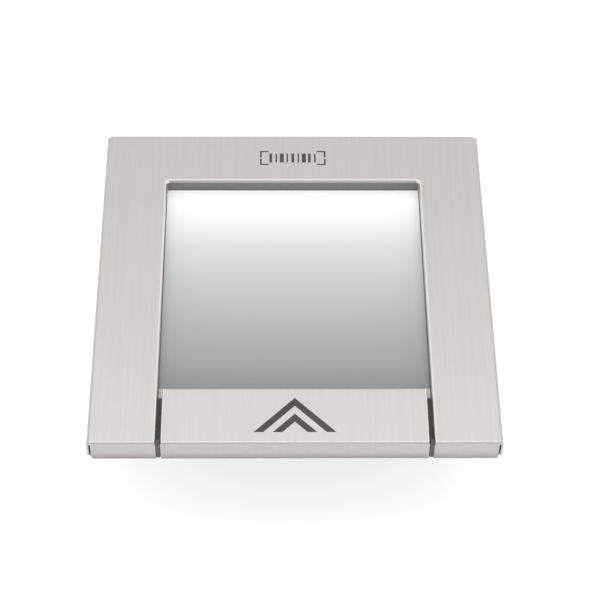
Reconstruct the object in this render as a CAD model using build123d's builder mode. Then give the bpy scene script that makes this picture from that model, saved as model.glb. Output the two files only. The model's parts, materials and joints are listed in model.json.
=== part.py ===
"""Flatbed barcode scanner: a square stainless top cover with a recessed window, over a tapered housing.

The frame: millimetres, +Z up, origin on the floor under the middle of the cover. The operator stands at -Y.
The cover lifts off the housing, its front panel pulls out forwards, two buttons sit in the back wall,
and four feet screw in and out under the base.
"""

import math
import os

from build123d import *

os.makedirs("parts", exist_ok=True)

# ------------------------------------------------------------------ driving dimensions
SIZE = 216.0  # outer width and depth of the square cover
BORDER = 35.5  # width of the cover on each side of the window
TOP = 80.0  # top face above the floor
LIP = 14.0  # height of the cover's folded rim
SHEET = 1.0  # stainless sheet
BEND = 1.5  # outer radius of every fold
SLOT = 2.6  # gap between the front panel and each arm of the frame
RECESS = 8.0  # top face down to the window glass
GLASS = 3.0  # window glass
GAP = 0.3  # clearance between pieces that move past each other
INLAY = 0.25  # depth of the filled marks
SCREW_SLOT = 0.6  # width of the driver slots in the screws

HALF = SIZE / 2
WINDOW = SIZE - 2 * BORDER
LIP_Z = TOP - LIP
GLASS_TOP = TOP - RECESS
GLASS_BOTTOM = GLASS_TOP - GLASS
GASKET_TOP = GLASS_TOP + 0.4
FLANGE_Z = TOP - BEND - 0.1  # bottom of the frame's inner flanges, on the window trim

PANEL_WIDTH = WINDOW - 2 * SLOT
PANEL_BACK = -WINDOW / 2
PANEL_FLANGE_Z = GASKET_TOP + 0.6

BASE_Z = 6.0  # underside of the base plate
PLATE = 2.0  # base plate
FLOOR_Z = BASE_Z + PLATE  # inside of the housing
DECK_Z = 61.0  # underside of the deck
DECK = 4.0  # deck thickness
DECK_TOP = DECK_Z + DECK
CARRIER_Z = 66.8  # underside of the plastic carrier
PAD_Z = CARRIER_Z - GAP  # top of the pads that carry the cover

WALL = 2.5  # housing wall
BACK_Y = 85.0  # outer face of the housing's back wall
TUB_BOTTOM = (148.0, -61.0)  # width and front face at the base plate
TUB_TOP = (160.0, -71.0)  # width and front face at the deck

FOOT_POINTS = [(-62.0, -46.0), (62.0, -46.0), (-62.0, 66.0), (62.0, 66.0)]
FOOT_NAMES = ["front_left", "front_right", "back_left", "back_right"]
STUD_R = 2.95
STUD_BORE_R = 3.0
BUSHING_R = 5.0
BUSHING = 8.0  # height of each bushing

BASE_SCREWS = [(-68.5, 10.0), (68.5, 10.0), (-40.0, -55.5), (40.0, -55.5), (-60.0, 79.0), (60.0, 79.0)]
BRACKET_HOLES = [(x, y) for x in (-60.0, 60.0) for y in (-18.0, 42.0)]
BRACKET_R = 2.2
DECK_SCREWS = [(-74.0, -58.0), (74.0, -58.0), (-74.0, 76.0), (74.0, 76.0), (0.0, -64.5), (0.0, 79.0)]
POSTS = [(-85.0, -60.0), (85.0, -60.0), (-85.0, 72.0), (85.0, 72.0)]
POST_R = 2.5
PILOT_R = 1.25  # shanks and holes of the small screws
FRAME_STUDS = [(x, y) for x in (-92.0, 92.0) for y in (-92.0, 6.0, 92.0)] + [(-42.0, 93.0), (42.0, 93.0)]

TUB_CORNER = 12.0
DUST_GLASS = (132.0, 116.0, 2.0)  # lower window
FRAME_STUD_R = 1.5

BOARD_TOP = 12.0
BOARD_THICK = 1.6
BOARD_X = 52.0  # half its width
BOARD_FRONT, BOARD_BACK = 30.0, 82.0
BOARD_SCREWS = [(-47.0, 35.0), (47.0, 35.0), (-47.0, 60.0), (47.0, 60.0)]
HOST_PORT = (-30.0, 15.6, 13.4)  # x, width, height
DATA_PORT = (-8.0, 13.0, 12.0)
POWER_PORT = (10.0, 9.4, 11.0)
PORT_DEPTH = 15.0
PORT_FACE = BACK_Y - 0.4  # mouths of the ports, just inside the back wall's face
BUTTON_X = {"volume_button": 26.0, "tone_button": 38.0}
BUTTON_Z = 19.0
BUTTON_R = 3.6
BEEPER_AT = (-36.0, 48.0)
LAMP_X = 49.0
LAMP_R = 2.5

VIEW_Z = 32.0  # height of the camera's axis
MIRROR_Y = -10.0  # where that axis meets the fold mirror
LIGHT_TILT = 35.0  # lean of the lighting boards


def save(piece, name):
    """Labels a finished piece and writes it to parts/name.step."""
    piece.part.label = name
    export_step(piece.part, f"parts/{name}.step")


def lies_at(edge, axis, value):
    """True if the middle of edge lies at value along axis."""
    return abs(tuple(edge.center())[axis] - value) < 0.01


def discs(points, radius, bottom, top):
    """Upright cylinders on points, from bottom to top."""
    with BuildPart() as group:
        with BuildSketch(Plane.XY.offset(bottom)):
            with Locations(*points):
                Circle(radius)
        extrude(amount=top - bottom)
    return group.part


def slab(x_range, y_range, z_range, corner=0.0):
    """Upright block between three pairs of limits, with rounded corners if asked for."""
    width = x_range[1] - x_range[0]
    depth = y_range[1] - y_range[0]
    with BuildPart() as block:
        with BuildSketch(Plane.XY.offset(z_range[0])):
            with Locations((sum(x_range) / 2, sum(y_range) / 2)):
                if corner > 0:
                    RectangleRounded(width, depth, corner)
                else:
                    Rectangle(width, depth)
        extrude(amount=z_range[1] - z_range[0])
    return block.part


def ring(outer_half, inner_half, z_range, corner=0.0):
    """Square ring about the Z axis."""
    with BuildPart() as band:
        with BuildSketch(Plane.XY.offset(z_range[0])):
            if corner > 0:
                RectangleRounded(2 * outer_half, 2 * outer_half, corner)
            else:
                Rectangle(2 * outer_half, 2 * outer_half)
            Rectangle(2 * inner_half, 2 * inner_half, mode=Mode.SUBTRACT)
        extrude(amount=z_range[1] - z_range[0])
    return band.part


def cross_recess(head_radius):
    """Cross of a screw's driver slot, in the sketch that is open."""
    Rectangle(head_radius * 1.1, SCREW_SLOT)
    Rectangle(SCREW_SLOT, head_radius * 1.1)


def pan_screw(head_radius, head_height, shank_radius, length):
    """Cross-headed screw that points down, with its head on the XY plane."""
    with BuildPart() as screw:
        with BuildSketch():
            Circle(head_radius)
        extrude(amount=head_height)
        fillet(screw.faces().sort_by(Axis.Z)[-1].edges(), radius=head_height * 0.45)
        with BuildSketch():
            Circle(shank_radius)
        extrude(amount=-length)
        with BuildSketch(Plane.XY.offset(head_height)):
            cross_recess(head_radius)
        extrude(amount=-head_height * 0.6, mode=Mode.SUBTRACT)
    return screw.part


def flat_screw_hole(head_radius, shank_radius, length):
    """Countersunk hole that goes down from the XY plane, and that a flat screw fills."""
    cone = head_radius - shank_radius
    with BuildPart() as hole:
        with BuildSketch(Plane.XZ):
            Polygon(
                (0, 0),
                (head_radius, 0),
                (shank_radius, -cone),
                (shank_radius, -length),
                (0, -length),
                align=None,
            )
        revolve(axis=Axis.Z)
    return hole.part


def flat_screw(head_radius, shank_radius, length):
    """Countersunk screw that points down, with its face on the XY plane."""
    body = flat_screw_hole(head_radius, shank_radius, length)
    with BuildPart() as screw:
        add(body)
        with BuildSketch():
            cross_recess(head_radius)
        extrude(amount=-1.0, mode=Mode.SUBTRACT)
    return screw.part


# ------------------------------------------------------------------ cover: stainless frame
def frame_block(inset):
    """U-shaped block that the frame's sheet follows, with every face moved in by inset."""
    outer = SIZE - 2 * inset
    gap = WINDOW + 2 * inset
    gap_length = (outer + gap) / 2
    with BuildPart() as block:
        with BuildSketch(Plane.XY.offset(LIP_Z)):
            Rectangle(outer, outer)
            with Locations((0, gap / 2 - gap_length / 2)):
                Rectangle(gap, gap_length, mode=Mode.SUBTRACT)
        extrude(amount=LIP - inset)
        corners = block.edges().filter_by(Axis.Z).filter_by(lambda e: lies_at(e, 1, gap / 2))
        fillet(corners, radius=2.0 + inset)
        fillet(block.faces().sort_by(Axis.Z)[-1].edges(), radius=BEND - inset)
    return block.part


def bar_mark(depth):
    """Barcode pictogram in four corner brackets, on the back of the cover."""
    bars = [1.6, 0.9, 2.4, 0.9, 1.6, 0.9, 2.4, 1.6, 0.9]
    bar_pitch = 3.2
    width, height, arm, stroke = 38.0, 11.0, 5.0, 1.0
    with BuildPart() as mark:
        with BuildSketch(Plane.XY.offset(TOP - depth)):
            with Locations((0, (HALF + WINDOW / 2) / 2)):
                for i, bar_width in enumerate(bars):
                    with Locations(((i - (len(bars) - 1) / 2) * bar_pitch, 0)):
                        Rectangle(bar_width, height - 4.0)
                for sx in (-1, 1):
                    for sy in (-1, 1):
                        with Locations((sx * (width - arm) / 2, sy * (height - stroke) / 2)):
                            Rectangle(arm, stroke)
                        with Locations((sx * (width - stroke) / 2, sy * (height - arm) / 2)):
                            Rectangle(stroke, arm)
        extrude(amount=depth)
    return mark.part


frame_skin = frame_block(0)
frame_hollow = frame_block(SHEET)
scan_mark_shape = bar_mark(INLAY)

SEAM = 0.9  # open seam beside each corner
RELIEF = 2.0  # side of the square cut out of each back corner
with BuildPart() as bezel_frame:
    add(frame_skin)
    add(frame_hollow, mode=Mode.SUBTRACT)
    # the inner flanges stop on the window trim
    rim_inside = -HALF + SHEET
    past_flanges = WINDOW / 2 + 4 * SHEET
    with BuildSketch(Plane.XY.offset(LIP_Z - 1)):
        with Locations((0, (rim_inside + past_flanges) / 2)):
            Rectangle(2 * past_flanges, past_flanges - rim_inside)
    extrude(amount=FLANGE_Z - LIP_Z + 1, mode=Mode.SUBTRACT)
    # open seams in the front rim beside the side flanges, and beside the inner flanges
    seam_x = HALF - SHEET - SEAM / 2
    with BuildSketch(Plane.XY.offset(LIP_Z - 1)):
        with Locations((-seam_x, -HALF), (seam_x, -HALF)):
            Rectangle(SEAM, 4 * SHEET)
        for side in (-1, 1):
            with Locations((side * (WINDOW / 2 + SHEET / 2), rim_inside + SEAM / 2)):
                Rectangle(1.4 * SHEET, SEAM)
    extrude(amount=LIP - BEND + 1, mode=Mode.SUBTRACT)
    # corner relief at the back, where two folds meet
    with BuildSketch(Plane.XY.offset(LIP_Z - 1)):
        with Locations((-HALF, HALF), (HALF, HALF)):
            Rectangle(2 * RELIEF, 2 * RELIEF)
    extrude(amount=LIP + 2, mode=Mode.SUBTRACT)
    # lower corners of the rim: wide at the front of the side flanges, small on the front flange
    rim_edges = bezel_frame.edges().filter_by(lambda e: lies_at(e, 2, LIP_Z) and abs(e.center().X) > HALF - 4)
    rim_corners = rim_edges.filter_by(lambda e: abs(e.length - SHEET) < 0.05)
    side_corners = rim_corners.filter_by(lambda e: lies_at(e, 1, -HALF))
    front_corners = rim_corners.filter_by(lambda e: lies_at(e, 1, -HALF + SHEET / 2))
    back_corners = rim_corners.filter_by(lambda e: e.center().Y > 0)
    for corners, corner_radius in ((side_corners, 4.5), (front_corners, 1.6), (back_corners, 2.4)):
        fillet(corners, radius=corner_radius)
    add(scan_mark_shape, mode=Mode.SUBTRACT)
save(bezel_frame, "bezel_frame")

with BuildPart() as scan_mark:
    add(scan_mark_shape)
save(scan_mark, "scan_mark")


# ------------------------------------------------------------------ cover: front panel
def panel_block(inset):
    """Block that the front panel's sheet follows, with every face moved in by inset."""
    length = BORDER - 2 * inset
    with BuildPart() as block:
        with BuildSketch(Plane.XY.offset(LIP_Z)):
            with Locations((0, -HALF + inset + length / 2)):
                Rectangle(PANEL_WIDTH - 2 * inset, length)
        extrude(amount=LIP - inset)
        fillet(block.faces().sort_by(Axis.Z)[-1].edges(), radius=BEND - inset)
    return block.part


def chevrons(depth):
    """Two nested arrow marks that point at the window."""
    apex, base, stroke, pitch = -79.3, -100.9, 5.1, 10.0
    with BuildPart() as marks:
        with BuildSketch(Plane.XY.offset(TOP - depth)):
            for tip in (apex, apex - pitch):
                reach = tip - base
                Polygon(
                    (0, tip),
                    (reach, base),
                    (reach - stroke, base),
                    (0, tip - stroke),
                    (stroke - reach, base),
                    (-reach, base),
                    align=None,
                )
        extrude(amount=depth)
    return marks.part


panel_skin = panel_block(0)
panel_hollow = panel_block(SHEET)
arrow_shape = chevrons(INLAY)

with BuildPart() as front_panel:
    add(panel_skin)
    add(panel_hollow, mode=Mode.SUBTRACT)
    # short flanges at the sides and back, behind a seam at the full front flange
    with BuildSketch(Plane.XY.offset(LIP_Z - 1)):
        with Locations((0, (rim_inside + PANEL_BACK + 1) / 2)):
            Rectangle(PANEL_WIDTH + 2, BORDER - SHEET + 1)
    extrude(amount=PANEL_FLANGE_Z - LIP_Z + 1, mode=Mode.SUBTRACT)
    with BuildSketch(Plane.XY.offset(LIP_Z - 1)):
        for side in (-1, 1):
            with Locations((side * PANEL_WIDTH / 2, rim_inside + SEAM / 2)):
                Rectangle(2.4 * SHEET, SEAM)
    extrude(amount=LIP - BEND + 1, mode=Mode.SUBTRACT)
    add(arrow_shape, mode=Mode.SUBTRACT)
save(front_panel, "front_panel")

with BuildPart() as arrow_marks:
    add(arrow_shape)
save(arrow_marks, "arrow_marks")

RAIL_X = 40.0  # middle of each rail that the front panel slides on
RAIL_STEM = 3.0  # width of the rail's stem
RAIL_HEAD = 7.0  # width of its head
RAIL_HEAD_Z = 71.0  # underside of its head
RAIL_TOP = 72.4
RAIL_FRONT, RAIL_BACK = -104.0, -80.0
SLIDER_LENGTH = 24.5
SLIDER_PLATE_Z = 76.0  # underside of the plate glued to the sheet
SLIDER_LOW = 69.4  # underside of its channels

with BuildPart() as panel_slider:
    # plate glued under the sheet
    with BuildSketch(Plane.XY.offset(SLIDER_PLATE_Z)):
        with Locations((0, -HALF + BORDER / 2 - 0.25)):
            Rectangle(PANEL_WIDTH - 6, 30.0)
    extrude(amount=TOP - SHEET - SLIDER_PLATE_Z)
    # T-channels that ride on the carrier's rails
    for side in (-1, 1):
        with BuildSketch(Plane.XZ.offset(-RAIL_FRONT + 0.5)):
            with Locations((side * RAIL_X, (SLIDER_LOW + SLIDER_PLATE_Z) / 2)):
                Rectangle(RAIL_HEAD + 2 * GAP + 5.0, SLIDER_PLATE_Z - SLIDER_LOW)
            with Locations((side * RAIL_X, (RAIL_HEAD_Z + RAIL_TOP) / 2)):
                Rectangle(RAIL_HEAD + 2 * GAP, RAIL_TOP - RAIL_HEAD_Z + 2 * GAP, mode=Mode.SUBTRACT)
            with Locations((side * RAIL_X, (SLIDER_LOW + RAIL_HEAD_Z) / 2)):
                Rectangle(RAIL_STEM + 2 * GAP, RAIL_HEAD_Z - SLIDER_LOW + GAP, mode=Mode.SUBTRACT)
        extrude(amount=-SLIDER_LENGTH)
save(panel_slider, "panel_slider")

# ------------------------------------------------------------------ cover: plastic carrier
CARRIER_HALF = HALF - SHEET - 0.3
CARRIER_BASE = GLASS_BOTTOM - CARRIER_Z
CARRIER_TOP = TOP - SHEET
CARRIER_WALL = 2.2  # outer wall of the carrier
CARRIER_RIB = 1.6
POCKET = 77.4  # half the pocket for glass and gasket
POCKET_WALL = 2.0
GLASS_HALF = 75.0
LEDGE = 70.5  # half the opening under the glass

stud_bosses = discs(FRAME_STUDS, 4.5, GLASS_BOTTOM, CARRIER_TOP)
stud_holes = discs(FRAME_STUDS, FRAME_STUD_R + 0.2, CARRIER_Z - 1, CARRIER_TOP + 1)
nut_pockets = discs(FRAME_STUDS, 3.4, CARRIER_Z - 1, GLASS_BOTTOM)
post_holes = discs(POSTS, POST_R + GAP, CARRIER_Z - 1, GLASS_BOTTOM + 1)
SEAL_HALVES = (104.0, 99.0)
SEAL_TOP = CARRIER_Z + 1.2
seal_groove = ring(*SEAL_HALVES, (CARRIER_Z - 1, SEAL_TOP))

with BuildPart() as carrier_frame:
    # outer wall, open at the front between the arms
    with BuildSketch(Plane.XY.offset(CARRIER_Z)):
        Rectangle(2 * CARRIER_HALF, 2 * CARRIER_HALF)
    extrude(amount=CARRIER_TOP - CARRIER_Z)
    chamfer(carrier_frame.faces().sort_by(Axis.Z)[-1].edges(), length=0.6)
    with BuildSketch(Plane.XY.offset(GLASS_BOTTOM)):
        inside = 2 * (CARRIER_HALF - CARRIER_WALL)
        Rectangle(inside, inside)
        with Locations((0, -CARRIER_HALF)):
            Rectangle(WINDOW + 2 * SHEET + 2.0, 12.0)
    extrude(amount=LIP, mode=Mode.SUBTRACT)
    # wall around the glass pocket, low across the front
    with BuildSketch(Plane.XY.offset(GLASS_BOTTOM)):
        wall_back, wall_front = POCKET + POCKET_WALL, -CARRIER_HALF + 1.0
        with Locations((0, (wall_back + wall_front) / 2)):
            Rectangle(2 * (POCKET + POCKET_WALL), wall_back - wall_front)
        with Locations((0, (POCKET + wall_front - 2) / 2)):
            Rectangle(2 * POCKET, POCKET - wall_front + 2, mode=Mode.SUBTRACT)
    extrude(amount=CARRIER_TOP - GLASS_BOTTOM)
    with BuildSketch(Plane.XY.offset(GLASS_BOTTOM)):
        with Locations((0, -POCKET - POCKET_WALL / 2)):
            Rectangle(2 * POCKET, POCKET_WALL)
    extrude(amount=GLASS_TOP - GLASS_BOTTOM)
    # opening under the glass
    with BuildSketch(Plane.XY.offset(CARRIER_Z - 1)):
        Rectangle(2 * LEDGE, 2 * LEDGE)
    extrude(amount=CARRIER_BASE + 1, mode=Mode.SUBTRACT)
    # ribs across the side arms and across the back
    rib_height = CARRIER_TOP - GLASS_BOTTOM
    arm_inner, arm_outer = POCKET + POCKET_WALL, CARRIER_HALF - CARRIER_WALL
    arm_middle = (arm_inner + arm_outer) / 2
    arm_width = arm_outer - arm_inner
    with BuildSketch(Plane.XY.offset(GLASS_BOTTOM)):
        for y in (-72.0, -44.0, -20.0, 30.0, 54.0, 79.0):
            with Locations((-arm_middle, y), (arm_middle, y)):
                Rectangle(arm_width + 1, CARRIER_RIB)
        for x in (-66.0, -22.0, 22.0, 66.0):
            with Locations((x, arm_middle)):
                Rectangle(CARRIER_RIB, arm_width + 1)
    extrude(amount=rib_height)
    # rails for the front panel
    for side in (-1, 1):
        with BuildSketch(Plane.XZ.offset(-RAIL_BACK)):
            with Locations((side * RAIL_X, (GLASS_BOTTOM + RAIL_HEAD_Z) / 2)):
                Rectangle(RAIL_STEM, RAIL_HEAD_Z - GLASS_BOTTOM)
            with Locations((side * RAIL_X, (RAIL_HEAD_Z + RAIL_TOP) / 2)):
                Rectangle(RAIL_HEAD, RAIL_TOP - RAIL_HEAD_Z)
        extrude(amount=RAIL_BACK - RAIL_FRONT)
    # bosses for the frame's studs, nut pockets, holes for the deck's posts, groove for the rim seal
    add(stud_bosses)
    add(stud_holes, mode=Mode.SUBTRACT)
    add(nut_pockets, mode=Mode.SUBTRACT)
    add(post_holes, mode=Mode.SUBTRACT)
    add(seal_groove, mode=Mode.SUBTRACT)
save(carrier_frame, "carrier_frame")

TRIM_FACE = WINDOW / 2 + 0.1  # inner face of the trim that lines the window
TRIM_WALL = 1.6
TRIM_TOP = FLANGE_Z - 0.1
TRIM_FRONT = -105.5
STRIP_BACK = -76.0  # back end of the strip in each slot
STRIP_INNER = PANEL_WIDTH / 2 + GAP  # its edge beside the front panel
STRIP_HEIGHT = 1.0
RIB_DEPTH = 3.2  # of the rib down the rim, from front to back
RIB_CORNER = 0.9

with BuildPart() as window_trim:
    # wall round three sides of the window, and on forwards under the arms of the frame
    trim_half = TRIM_FACE + TRIM_WALL
    with BuildSketch(Plane.XY.offset(GASKET_TOP)):
        with Locations((0, (trim_half + TRIM_FRONT) / 2)):
            RectangleRounded(2 * trim_half, trim_half - TRIM_FRONT, 1.5)
        with Locations((0, (TRIM_FACE + TRIM_FRONT - 4) / 2)):
            RectangleRounded(2 * TRIM_FACE, TRIM_FACE - TRIM_FRONT + 4, 2.0, mode=Mode.SUBTRACT)
    extrude(amount=TRIM_TOP - GASKET_TOP)
    # feet on the carrier, ahead of the glass pocket
    foot_back = -POCKET - POCKET_WALL - GAP
    with BuildSketch(Plane.XY.offset(GLASS_BOTTOM)):
        for side in (-1, 1):
            with Locations((side * (TRIM_FACE + TRIM_WALL / 2), (foot_back + TRIM_FRONT) / 2)):
                Rectangle(TRIM_WALL, foot_back - TRIM_FRONT)
    extrude(amount=GASKET_TOP - GLASS_BOTTOM)
    # strip along the bottom of each slot
    with BuildSketch(Plane.XY.offset(GASKET_TOP)):
        for side in (-1, 1):
            with Locations((side * (STRIP_INNER + TRIM_FACE) / 2, (STRIP_BACK + TRIM_FRONT) / 2)):
                Rectangle(TRIM_FACE - STRIP_INNER, STRIP_BACK - TRIM_FRONT)
    extrude(amount=STRIP_HEIGHT)
    # rib down the rim at the end of each slot, rounded over like the sheet beside it
    rib_width = SLOT - GAP - 0.1
    rib_low, rib_high = LIP_Z, TOP - 0.7
    for side in (-1, 1):
        rib_x = side * (WINDOW / 2 - 0.1 - rib_width / 2)
        with BuildSketch(Plane.YZ.offset(rib_x - rib_width / 2)):
            with Locations((-HALF + 0.25 + RIB_DEPTH / 2, (rib_low + rib_high) / 2)):
                RectangleRounded(RIB_DEPTH, rib_high - rib_low, RIB_CORNER)
        extrude(amount=rib_width)
    # the ribs hang outside the carrier's base
    with BuildSketch(Plane.XY.offset(LIP_Z - 2.0)):
        with Locations((0, -CARRIER_HALF + 6.0)):
            Rectangle(2 * trim_half + 2, 12.0)
    extrude(amount=GLASS_BOTTOM - LIP_Z + 2.0, mode=Mode.SUBTRACT)
save(window_trim, "window_trim")

with BuildPart() as frame_studs:
    add(discs(FRAME_STUDS, FRAME_STUD_R, CARRIER_Z + 0.4, CARRIER_TOP))
save(frame_studs, "frame_studs")

with BuildPart() as frame_nuts:
    with BuildSketch(Plane.XY.offset(CARRIER_Z + 0.2)):
        with Locations(*FRAME_STUDS):
            RegularPolygon(3.17, 6)
            Circle(FRAME_STUD_R, mode=Mode.SUBTRACT)
    extrude(amount=GLASS_BOTTOM - CARRIER_Z - 0.2)
save(frame_nuts, "frame_nuts")

with BuildPart() as rim_seal:
    add(ring(*SEAL_HALVES, (LIP_Z, SEAL_TOP)))
save(rim_seal, "rim_seal")

# ------------------------------------------------------------------ cover: window
with BuildPart() as window_glass:
    with BuildSketch(Plane.XY.offset(GLASS_BOTTOM)):
        RectangleRounded(2 * GLASS_HALF, 2 * GLASS_HALF, 2.0)
    extrude(amount=GLASS)
    chamfer(window_glass.faces().sort_by(Axis.Z)[-1].edges(), length=0.3)
save(window_glass, "window_glass")

with BuildPart() as window_gasket:
    with BuildSketch(Plane.XY.offset(GLASS_BOTTOM)):
        Rectangle(2 * POCKET, 2 * POCKET)
        RectangleRounded(2 * GLASS_HALF, 2 * GLASS_HALF, 2.0, mode=Mode.SUBTRACT)
    extrude(amount=GLASS)
    # lip over the edge of the glass, set back at the front
    lip_inner = WINDOW / 2 - 0.2
    lip_front = -GLASS_HALF + 0.8
    with BuildSketch(Plane.XY.offset(GLASS_TOP)):
        Rectangle(2 * POCKET, 2 * POCKET)
        with Locations((0, (lip_inner + lip_front) / 2)):
            Rectangle(2 * lip_inner, lip_inner - lip_front, mode=Mode.SUBTRACT)
    extrude(amount=GASKET_TOP - GLASS_TOP)
save(window_gasket, "window_gasket")


# ------------------------------------------------------------------ housing: tub, base and deck
def tub_block(inset, bottom, top):
    """Drafted block between two heights that the tub's wall follows, moved in by inset."""
    with BuildPart() as block:
        for height, (width, front) in ((bottom, TUB_BOTTOM), (top, TUB_TOP)):
            with BuildSketch(Plane.XY.offset(height)):
                with Locations((0, (front + BACK_Y) / 2)):
                    RectangleRounded(width - 2 * inset, BACK_Y - front - 2 * inset, TUB_CORNER - inset)
        loft()
    return block.part


TUB_TOP_Z = DECK_Z - 1.0  # the deck gasket is 1 mm thick
tub_skin = tub_block(0, FLOOR_Z, TUB_TOP_Z)
tub_hollow = tub_block(WALL, FLOOR_Z, TUB_TOP_Z)
BOSS_R = 4.2  # screw bosses of the housing
BASE_SCREW = (3.2, 1.4, 9.0)  # head radius, shank radius and length
DECK_SCREW = (3.4, 1.7, 15.0)
base_bosses = discs(BASE_SCREWS, BOSS_R, FLOOR_Z, FLOOR_Z + 10)
base_boss_holes = discs(BASE_SCREWS, BASE_SCREW[1], FLOOR_Z, FLOOR_Z + 9)
deck_bosses = discs(DECK_SCREWS, BOSS_R, DECK_Z - 14, DECK_Z)
deck_boss_holes = discs(DECK_SCREWS, DECK_SCREW[1], DECK_Z - 12, DECK_Z)

with BuildPart() as lower_tub:
    add(tub_skin)
    add(tub_hollow, mode=Mode.SUBTRACT)
    add(base_bosses)
    add(deck_bosses)
    add(base_boss_holes, mode=Mode.SUBTRACT)
    add(deck_boss_holes, mode=Mode.SUBTRACT)
    # ports, buttons and lamp in the back wall
    with BuildSketch(Plane.XZ.offset(-BACK_Y - 1)):
        for x, width, height in (HOST_PORT, DATA_PORT, POWER_PORT):
            with Locations((x, BOARD_TOP + height / 2)):
                Rectangle(width, height)
        with Locations(*[(x, BUTTON_Z) for x in BUTTON_X.values()]):
            Circle(BUTTON_R + GAP)
        with Locations((LAMP_X, BUTTON_Z)):
            Circle(LAMP_R)
    extrude(amount=WALL + 2, mode=Mode.SUBTRACT)
    # slots for the beeper's sound in the left wall
    with BuildSketch(Plane.YZ.offset(-TUB_TOP[0] / 2 - 1)):
        with Locations(*[(BEEPER_AT[1] - 10.0 + 6.0 * i, 26.0) for i in range(5)]):
            SlotOverall(14.0, 2.2, rotation=90)
    extrude(amount=12.0, mode=Mode.SUBTRACT)
save(lower_tub, "lower_tub")

BASE_MIDDLE_Y = (TUB_BOTTOM[1] + BACK_Y) / 2
MIRROR_SCREWS = [(-52.5, -10.0), (52.5, -10.0)]
standoffs = discs(BOARD_SCREWS, 3.0, FLOOR_Z, BOARD_TOP - BOARD_THICK)
standoff_holes = discs(BOARD_SCREWS, PILOT_R, FLOOR_Z + 0.2, BOARD_TOP)
bushing_holes = discs(FOOT_POINTS, BUSHING_R, BASE_Z - 1, FLOOR_Z + 1)
bracket_holes = discs(BRACKET_HOLES, BRACKET_R, BASE_Z - 1, FLOOR_Z + 1)
mirror_screw_holes = discs(MIRROR_SCREWS, PILOT_R, BASE_Z - 1, FLOOR_Z + 1)
base_screw_space = Pos(0, 0, BASE_Z) * (Rotation(180, 0, 0) * flat_screw_hole(*BASE_SCREW))
base_screw_shape = Pos(0, 0, BASE_Z) * (Rotation(180, 0, 0) * flat_screw(*BASE_SCREW))

with BuildPart() as base_plate:
    with BuildSketch(Plane.XY.offset(BASE_Z)):
        with Locations((0, BASE_MIDDLE_Y)):
            RectangleRounded(TUB_BOTTOM[0], BACK_Y - TUB_BOTTOM[1], TUB_CORNER)
    extrude(amount=PLATE)
    add(standoffs)
    add(standoff_holes, mode=Mode.SUBTRACT)
    add(bushing_holes, mode=Mode.SUBTRACT)
    add(bracket_holes, mode=Mode.SUBTRACT)
    add(mirror_screw_holes, mode=Mode.SUBTRACT)
    with Locations(*[(x, y, 0) for x, y in BASE_SCREWS]):
        add(base_screw_space, mode=Mode.SUBTRACT)
save(base_plate, "base_plate")

with BuildPart() as base_screws:
    with Locations(*[(x, y, 0) for x, y in BASE_SCREWS]):
        add(base_screw_shape)
save(base_screws, "base_screws")

LABEL = 0.2  # thickness of the label
with BuildPart() as rating_label:
    with BuildSketch(Plane.XY.offset(BASE_Z - LABEL)):
        with Locations((0, 40.0)):
            RectangleRounded(64.0, 32.0, 2.0)
    extrude(amount=LABEL)
save(rating_label, "rating_label")

DECK_X = 92.0
DECK_Y = (-76.0, 90.0)
DUST_X = DUST_GLASS[0] / 2
DUST_Y = DUST_GLASS[1] / 2
DUST_Z = DECK_TOP - DUST_GLASS[2]  # underside of the dust window
SEAL_GAP = 0.8  # thickness of its seal, at the sides
SEAL_UNDER = 0.5  # and under it
LIGHT_SCREWS = [(-70.5, -30.0), (-70.5, 30.0), (70.5, -30.0), (70.5, 30.0)]
CAMERA_SCREWS = [(-14.0, 70.6), (14.0, 70.6)]
deck_pads = discs(POSTS, 6.0, DECK_TOP, PAD_Z)
POST_TOP = CARRIER_Z + 6.0
deck_posts = discs(POSTS, POST_R, DECK_TOP, POST_TOP)
post_tips = [edge for edge in deck_posts.edges() if lies_at(edge, 2, POST_TOP)]
deck_posts = chamfer(post_tips, length=1.2)
under_screw_holes = discs(LIGHT_SCREWS + CAMERA_SCREWS, PILOT_R, DECK_Z - 1, DECK_Z + 3)
deck_screw_space = Pos(0, 0, DECK_TOP) * flat_screw_hole(*DECK_SCREW)
deck_screw_shape = Pos(0, 0, DECK_TOP) * flat_screw(*DECK_SCREW)

view_x, view_y = DUST_X - 4.0, DUST_Y - 4.0  # half the opening under the lower window
seat_x, seat_y = DUST_X + SEAL_GAP, DUST_Y + SEAL_GAP  # half the seat of its seal
view_hole = slab((-view_x, view_x), (-view_y, view_y), (DECK_Z - 1, DECK_TOP + 1))
seal_seat = slab((-seat_x, seat_x), (-seat_y, seat_y), (DUST_Z - SEAL_UNDER, DECK_TOP + 1))
seal_body = slab((-seat_x, seat_x), (-seat_y, seat_y), (DUST_Z - SEAL_UNDER, DECK_TOP))
dust_pane = slab((-DUST_X, DUST_X), (-DUST_Y, DUST_Y), (DUST_Z, DECK_TOP))

with BuildPart() as optics_deck:
    add(slab((-DECK_X, DECK_X), DECK_Y, (DECK_Z, DECK_TOP), corner=8.0))
    add(view_hole, mode=Mode.SUBTRACT)
    add(seal_seat, mode=Mode.SUBTRACT)
    add(deck_pads)
    add(deck_posts)
    add(under_screw_holes, mode=Mode.SUBTRACT)
    with Locations(*[(x, y, 0) for x, y in DECK_SCREWS]):
        add(deck_screw_space, mode=Mode.SUBTRACT)
save(optics_deck, "optics_deck")

with BuildPart() as deck_screws:
    with Locations(*[(x, y, 0) for x, y in DECK_SCREWS]):
        add(deck_screw_shape)
save(deck_screws, "deck_screws")

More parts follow.
